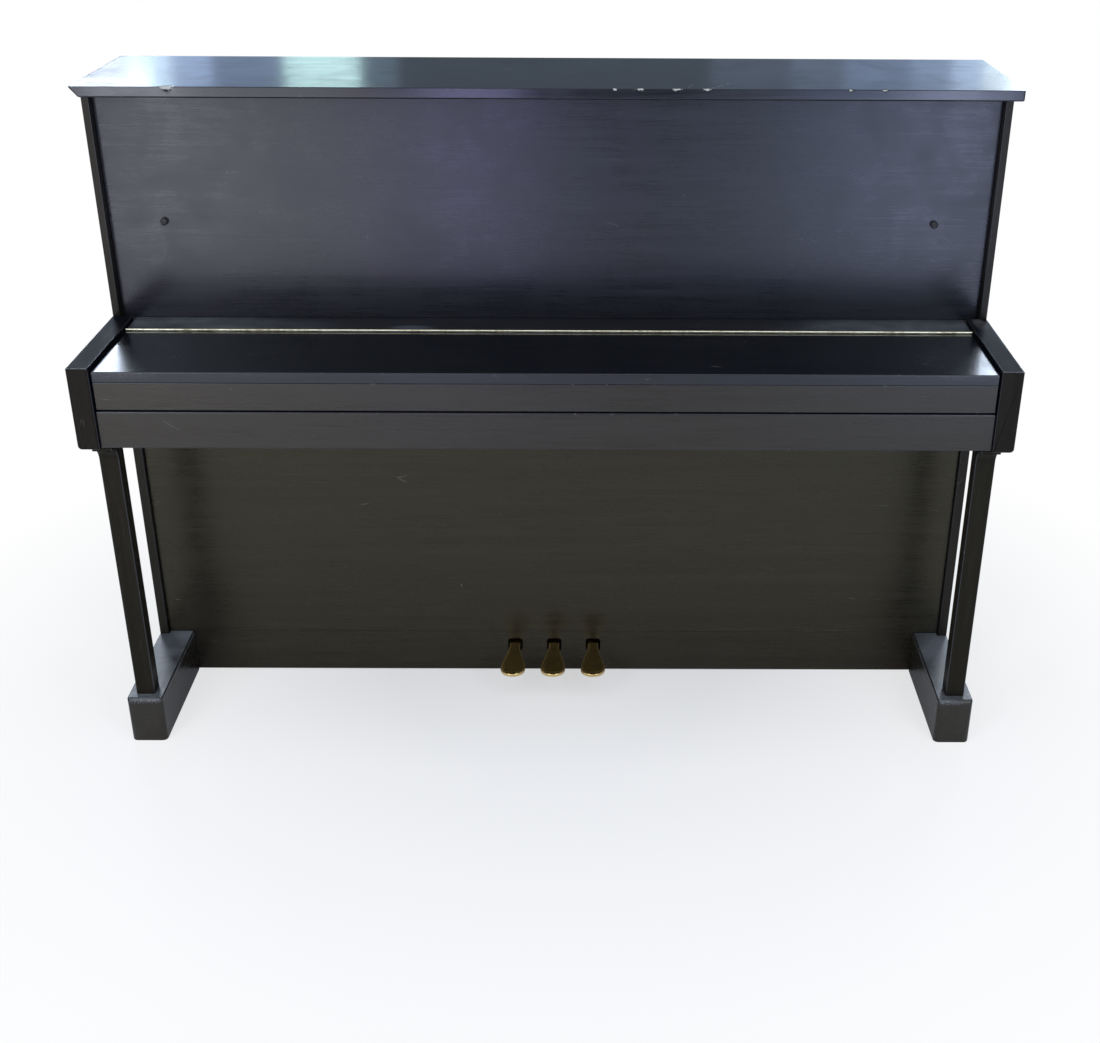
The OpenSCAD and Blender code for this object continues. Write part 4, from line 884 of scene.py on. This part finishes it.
KEPT = {
    "bottom_board": stained,
    "key_bed": stained,
    "lid_hinges_case": hinge_brass,
    "lid_hinges_lid": hinge_brass,
    "fallboard_hinge_fixed": hinge_brass,
    "fallboard_hinge_moving": hinge_brass,
    "shelf_hinges": hinge_brass,
    "music_shelf": shelf_finish(),
    "pin_block": block_maple,
    "soundboard": spruce,
    "ribs": rib_spruce,
    "bridges": beech,
    "iron_plate": plate_gold,
    "plate_liner": beam_pine,
    "tuning_pins": pin_blue,
    "strings": strings_finish(),
    "key_frame": beam_pine,
    "action_rail": block_maple,
    "action_brackets": bracket_grey,
    "hammer_rail": block_maple,
    "dampers": damper_felt,
    "pedal_bracket": bracket_grey,
    "pedal_rod_left": maple,
    "pedal_rod_middle": maple,
    "pedal_rod_right": maple,
    "black_keys": black_key,
}
for group in ("ceg", "dfa", "b"):
    KEPT["white_keys_" + group] = white_key
for group in ("ceg", "dfa", "b", "black"):
    KEPT["wippens_" + group] = wippen_wood
    KEPT["hammers_" + group] = hammer_felt
for node, material in KEPT.items():
    piece = frame["nodes"][node]
    for slot in piece.material_slots:
        slot.material = material


def back_frame():
    """Back posts and beams with eased edges, the posts' grain upright and the beams' level."""
    pines = (post_pine, beam_pine)
    mesh = eased("back_frame_wood", "back_frame", 2.5 * MM, pines, "case").data
    centre = np.empty(len(mesh.polygons) * 3)
    mesh.polygons.foreach_get("center", centre)
    z = centre.reshape(-1, 3)[:, 2]
    low, high = corners_of("back_frame")
    beam = 91 * MM
    level = (z < low[2] + beam) | (z > high[2] - beam)
    mesh.polygons.foreach_set("material_index", level.astype(np.int32))


back_frame()

# ---- Stage ----


def floor():
    """A wide pale floor that keeps the shadow near the piano and is plain white to the camera far out."""
    bpy.ops.mesh.primitive_grid_add(x_subdivisions=2, y_subdivisions=2, size=60)
    ground = bpy.context.object
    ground.name = "floor"
    recipe = Recipe("pale_floor", Base_Color=(0.90, 0.90, 0.90, 1), Roughness=0.9, Specular_IOR_Level=0.1)
    far = recipe.vector("LENGTH", recipe.place)["Value"]
    seen = recipe.add("ShaderNodeLightPath").outputs["Is Camera Ray"]
    share = recipe.times(recipe.ramp(far, 0.3, 1.4, 0.5, 1.0), seen)
    white = recipe.add("ShaderNodeEmission", {"Color": (1, 1, 1, 1), "Strength": 1.0}).outputs[0]
    mix = recipe.add("ShaderNodeMixShader", {0: share, 1: recipe.shader.outputs[0], 2: white})
    recipe.tree.links.new(mix.outputs[0], recipe.tree.nodes["Material Output"].inputs[0])
    ground.data.materials.append(recipe.material)
    ground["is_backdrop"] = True


def lamp(name, place, target, size, power, colour=(1, 1, 1)):
    """A soft box that the camera doesn't see."""
    data = bpy.data.lights.new(name, "AREA")
    data.shape = "RECTANGLE"
    data.size, data.size_y = size
    data.energy = power
    data.color = colour
    light = bpy.data.objects.new(name, data)
    light.location = place
    light.rotation_euler = (Vector(target) - Vector(place)).to_track_quat("-Z", "Y").to_euler()
    light.visible_camera = False
    bpy.context.scene.collection.objects.link(light)


def world():
    """White to the camera, a soft grey room to everything else."""
    room = bpy.data.worlds.new("studio")
    bpy.context.scene.world = room
    room.use_nodes = True
    nodes, links = room.node_tree.nodes, room.node_tree.links
    grey = nodes["Background"]
    grey.inputs["Color"].default_value = (0.62, 0.78, 1.0, 1)
    grey.inputs["Strength"].default_value = 0.21
    white = nodes.new("ShaderNodeBackground")
    white.inputs["Color"].default_value = (1, 1, 1, 1)
    path = nodes.new("ShaderNodeLightPath")
    mix = nodes.new("ShaderNodeMixShader")
    links.new(path.outputs["Is Camera Ray"], mix.inputs[0])
    links.new(grey.outputs[0], mix.inputs[1])
    links.new(white.outputs[0], mix.inputs[2])
    links.new(mix.outputs[0], nodes["World Output"].inputs[0])


floor()
world()
lamp("ceiling_box", (0.0, -1.5, 3.8), (0.0, -1.1, 0.0), (5.0, 3.0), 80)

# Soft boxes on the floor in front, side by side: left edge, right edge, brightness, colour
FRONT_Y, FRONT_TALL = -2.6, 0.9
FRONT = [
    (-1.66, -1.30, 7.0, (0.82, 0.83, 0.95)),
    (-1.30, -0.72, 2.4, (0.89, 0.91, 1.0)),
    (-0.72, -0.55, 1.2, (0.85, 0.80, 1.0)),
    (-0.50, -0.20, 6.0, (0.55, 0.53, 1.0)),
    (0.45, 0.75, 0.8, (0.60, 0.70, 1.0)),
    (0.75, 1.12, 2.6, (0.49, 0.62, 1.0)),
    (1.12, 1.48, 8.0, (0.60, 0.68, 1.0)),
]
for k, (x0, x1, radiance, colour) in enumerate(FRONT):
    size = (x1 - x0, FRONT_TALL)
    power = radiance * size[0] * size[1] * math.pi
    x, z = (x0 + x1) / 2, FRONT_TALL / 2
    lamp("front_" + str(k), (x, FRONT_Y, z + 0.01), (x, 0.0, z), size, power, colour)
lamp("front_high_left", (-1.95, -2.7, 2.1), (-1.2, 0.0, 0.9), (1.1, 1.3), 32, (0.78, 0.86, 1.0))
lamp("front_high_right", (1.98, -2.7, 2.1), (1.2, 0.0, 0.9), (1.1, 1.3), 28, (0.74, 0.84, 1.0))

# Windows behind the piano, side by side: left edge, right edge, brightness, colour
WINDOW_Y, WINDOW_Z, WINDOW_TALL = 3.2, 1.5, 0.62
WINDOWS = [
    (-2.45, -1.66, 0.5, (0.86, 0.96, 1.0)),
    (-1.66, -1.50, 2.3, (0.60, 0.80, 1.0)),
    (-1.50, -1.35, 1.4, (0.48, 0.65, 1.0)),
    (-1.35, -1.08, 0.62, (0.45, 0.63, 1.0)),
    (-1.08, -0.80, 2.15, (0.66, 0.99, 1.0)),
    (-0.80, -0.66, 0.25, (0.50, 0.76, 1.0)),
    (0.50, 0.80, 0.14, (0.50, 0.66, 1.0)),
    (0.80, 1.00, 0.30, (0.50, 0.66, 1.0)),
    (1.00, 1.25, 0.58, (0.46, 0.62, 1.0)),
    (1.25, 1.40, 0.9, (0.48, 0.66, 1.0)),
    (1.40, 1.52, 1.7, (0.54, 0.72, 1.0)),
    (1.52, 2.35, 2.4, (0.72, 0.88, 1.0)),
]
for k, (x0, x1, radiance, colour) in enumerate(WINDOWS):
    size = (x1 - x0, WINDOW_TALL)
    power = radiance * size[0] * size[1] * math.pi
    x = (x0 + x1) / 2
    lamp("window_" + str(k), (x, WINDOW_Y, WINDOW_Z), (x, 0.0, 1.2), size, power, colour)
for side, x in (("left", -2.05), ("right", 2.10)):
    high = (x, WINDOW_Y, 2.25)
    lamp("window_high_" + side, high, (x, 0.0, 1.7), (0.9, 0.85), 34, (0.74, 0.84, 1.0))


def camera():
    """Above and in front: 26.5 degrees down, almost square to the case."""
    stand = (0.0788, -2.4499, 1.5555)
    pitch, yaw, roll = -0.4625, -0.0054, 0.0057
    level = math.cos(pitch)
    ahead = np.array([-math.sin(yaw) * level, math.cos(yaw) * level, math.sin(pitch)])
    side = np.array([math.cos(yaw), math.sin(yaw), 0.0])
    above = np.cross(side, ahead)
    right = math.cos(roll) * side + math.sin(roll) * above
    up = -math.sin(roll) * side + math.cos(roll) * above
    data = bpy.data.cameras.new("view")
    data.sensor_width = 36.0
    data.lens = 48.276
    data.shift_x = -0.0477
    data.shift_y = -0.0050
    data.clip_start, data.clip_end = 0.05, 100
    eye = bpy.data.objects.new("view", data)
    turn = Matrix((right, up, -ahead)).transposed().to_4x4()
    eye.matrix_world = Matrix.Translation(stand) @ turn
    bpy.context.scene.collection.objects.link(eye)
    bpy.context.scene.camera = eye


camera()
bpy.context.scene.view_settings.view_transform = "Standard"

low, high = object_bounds()
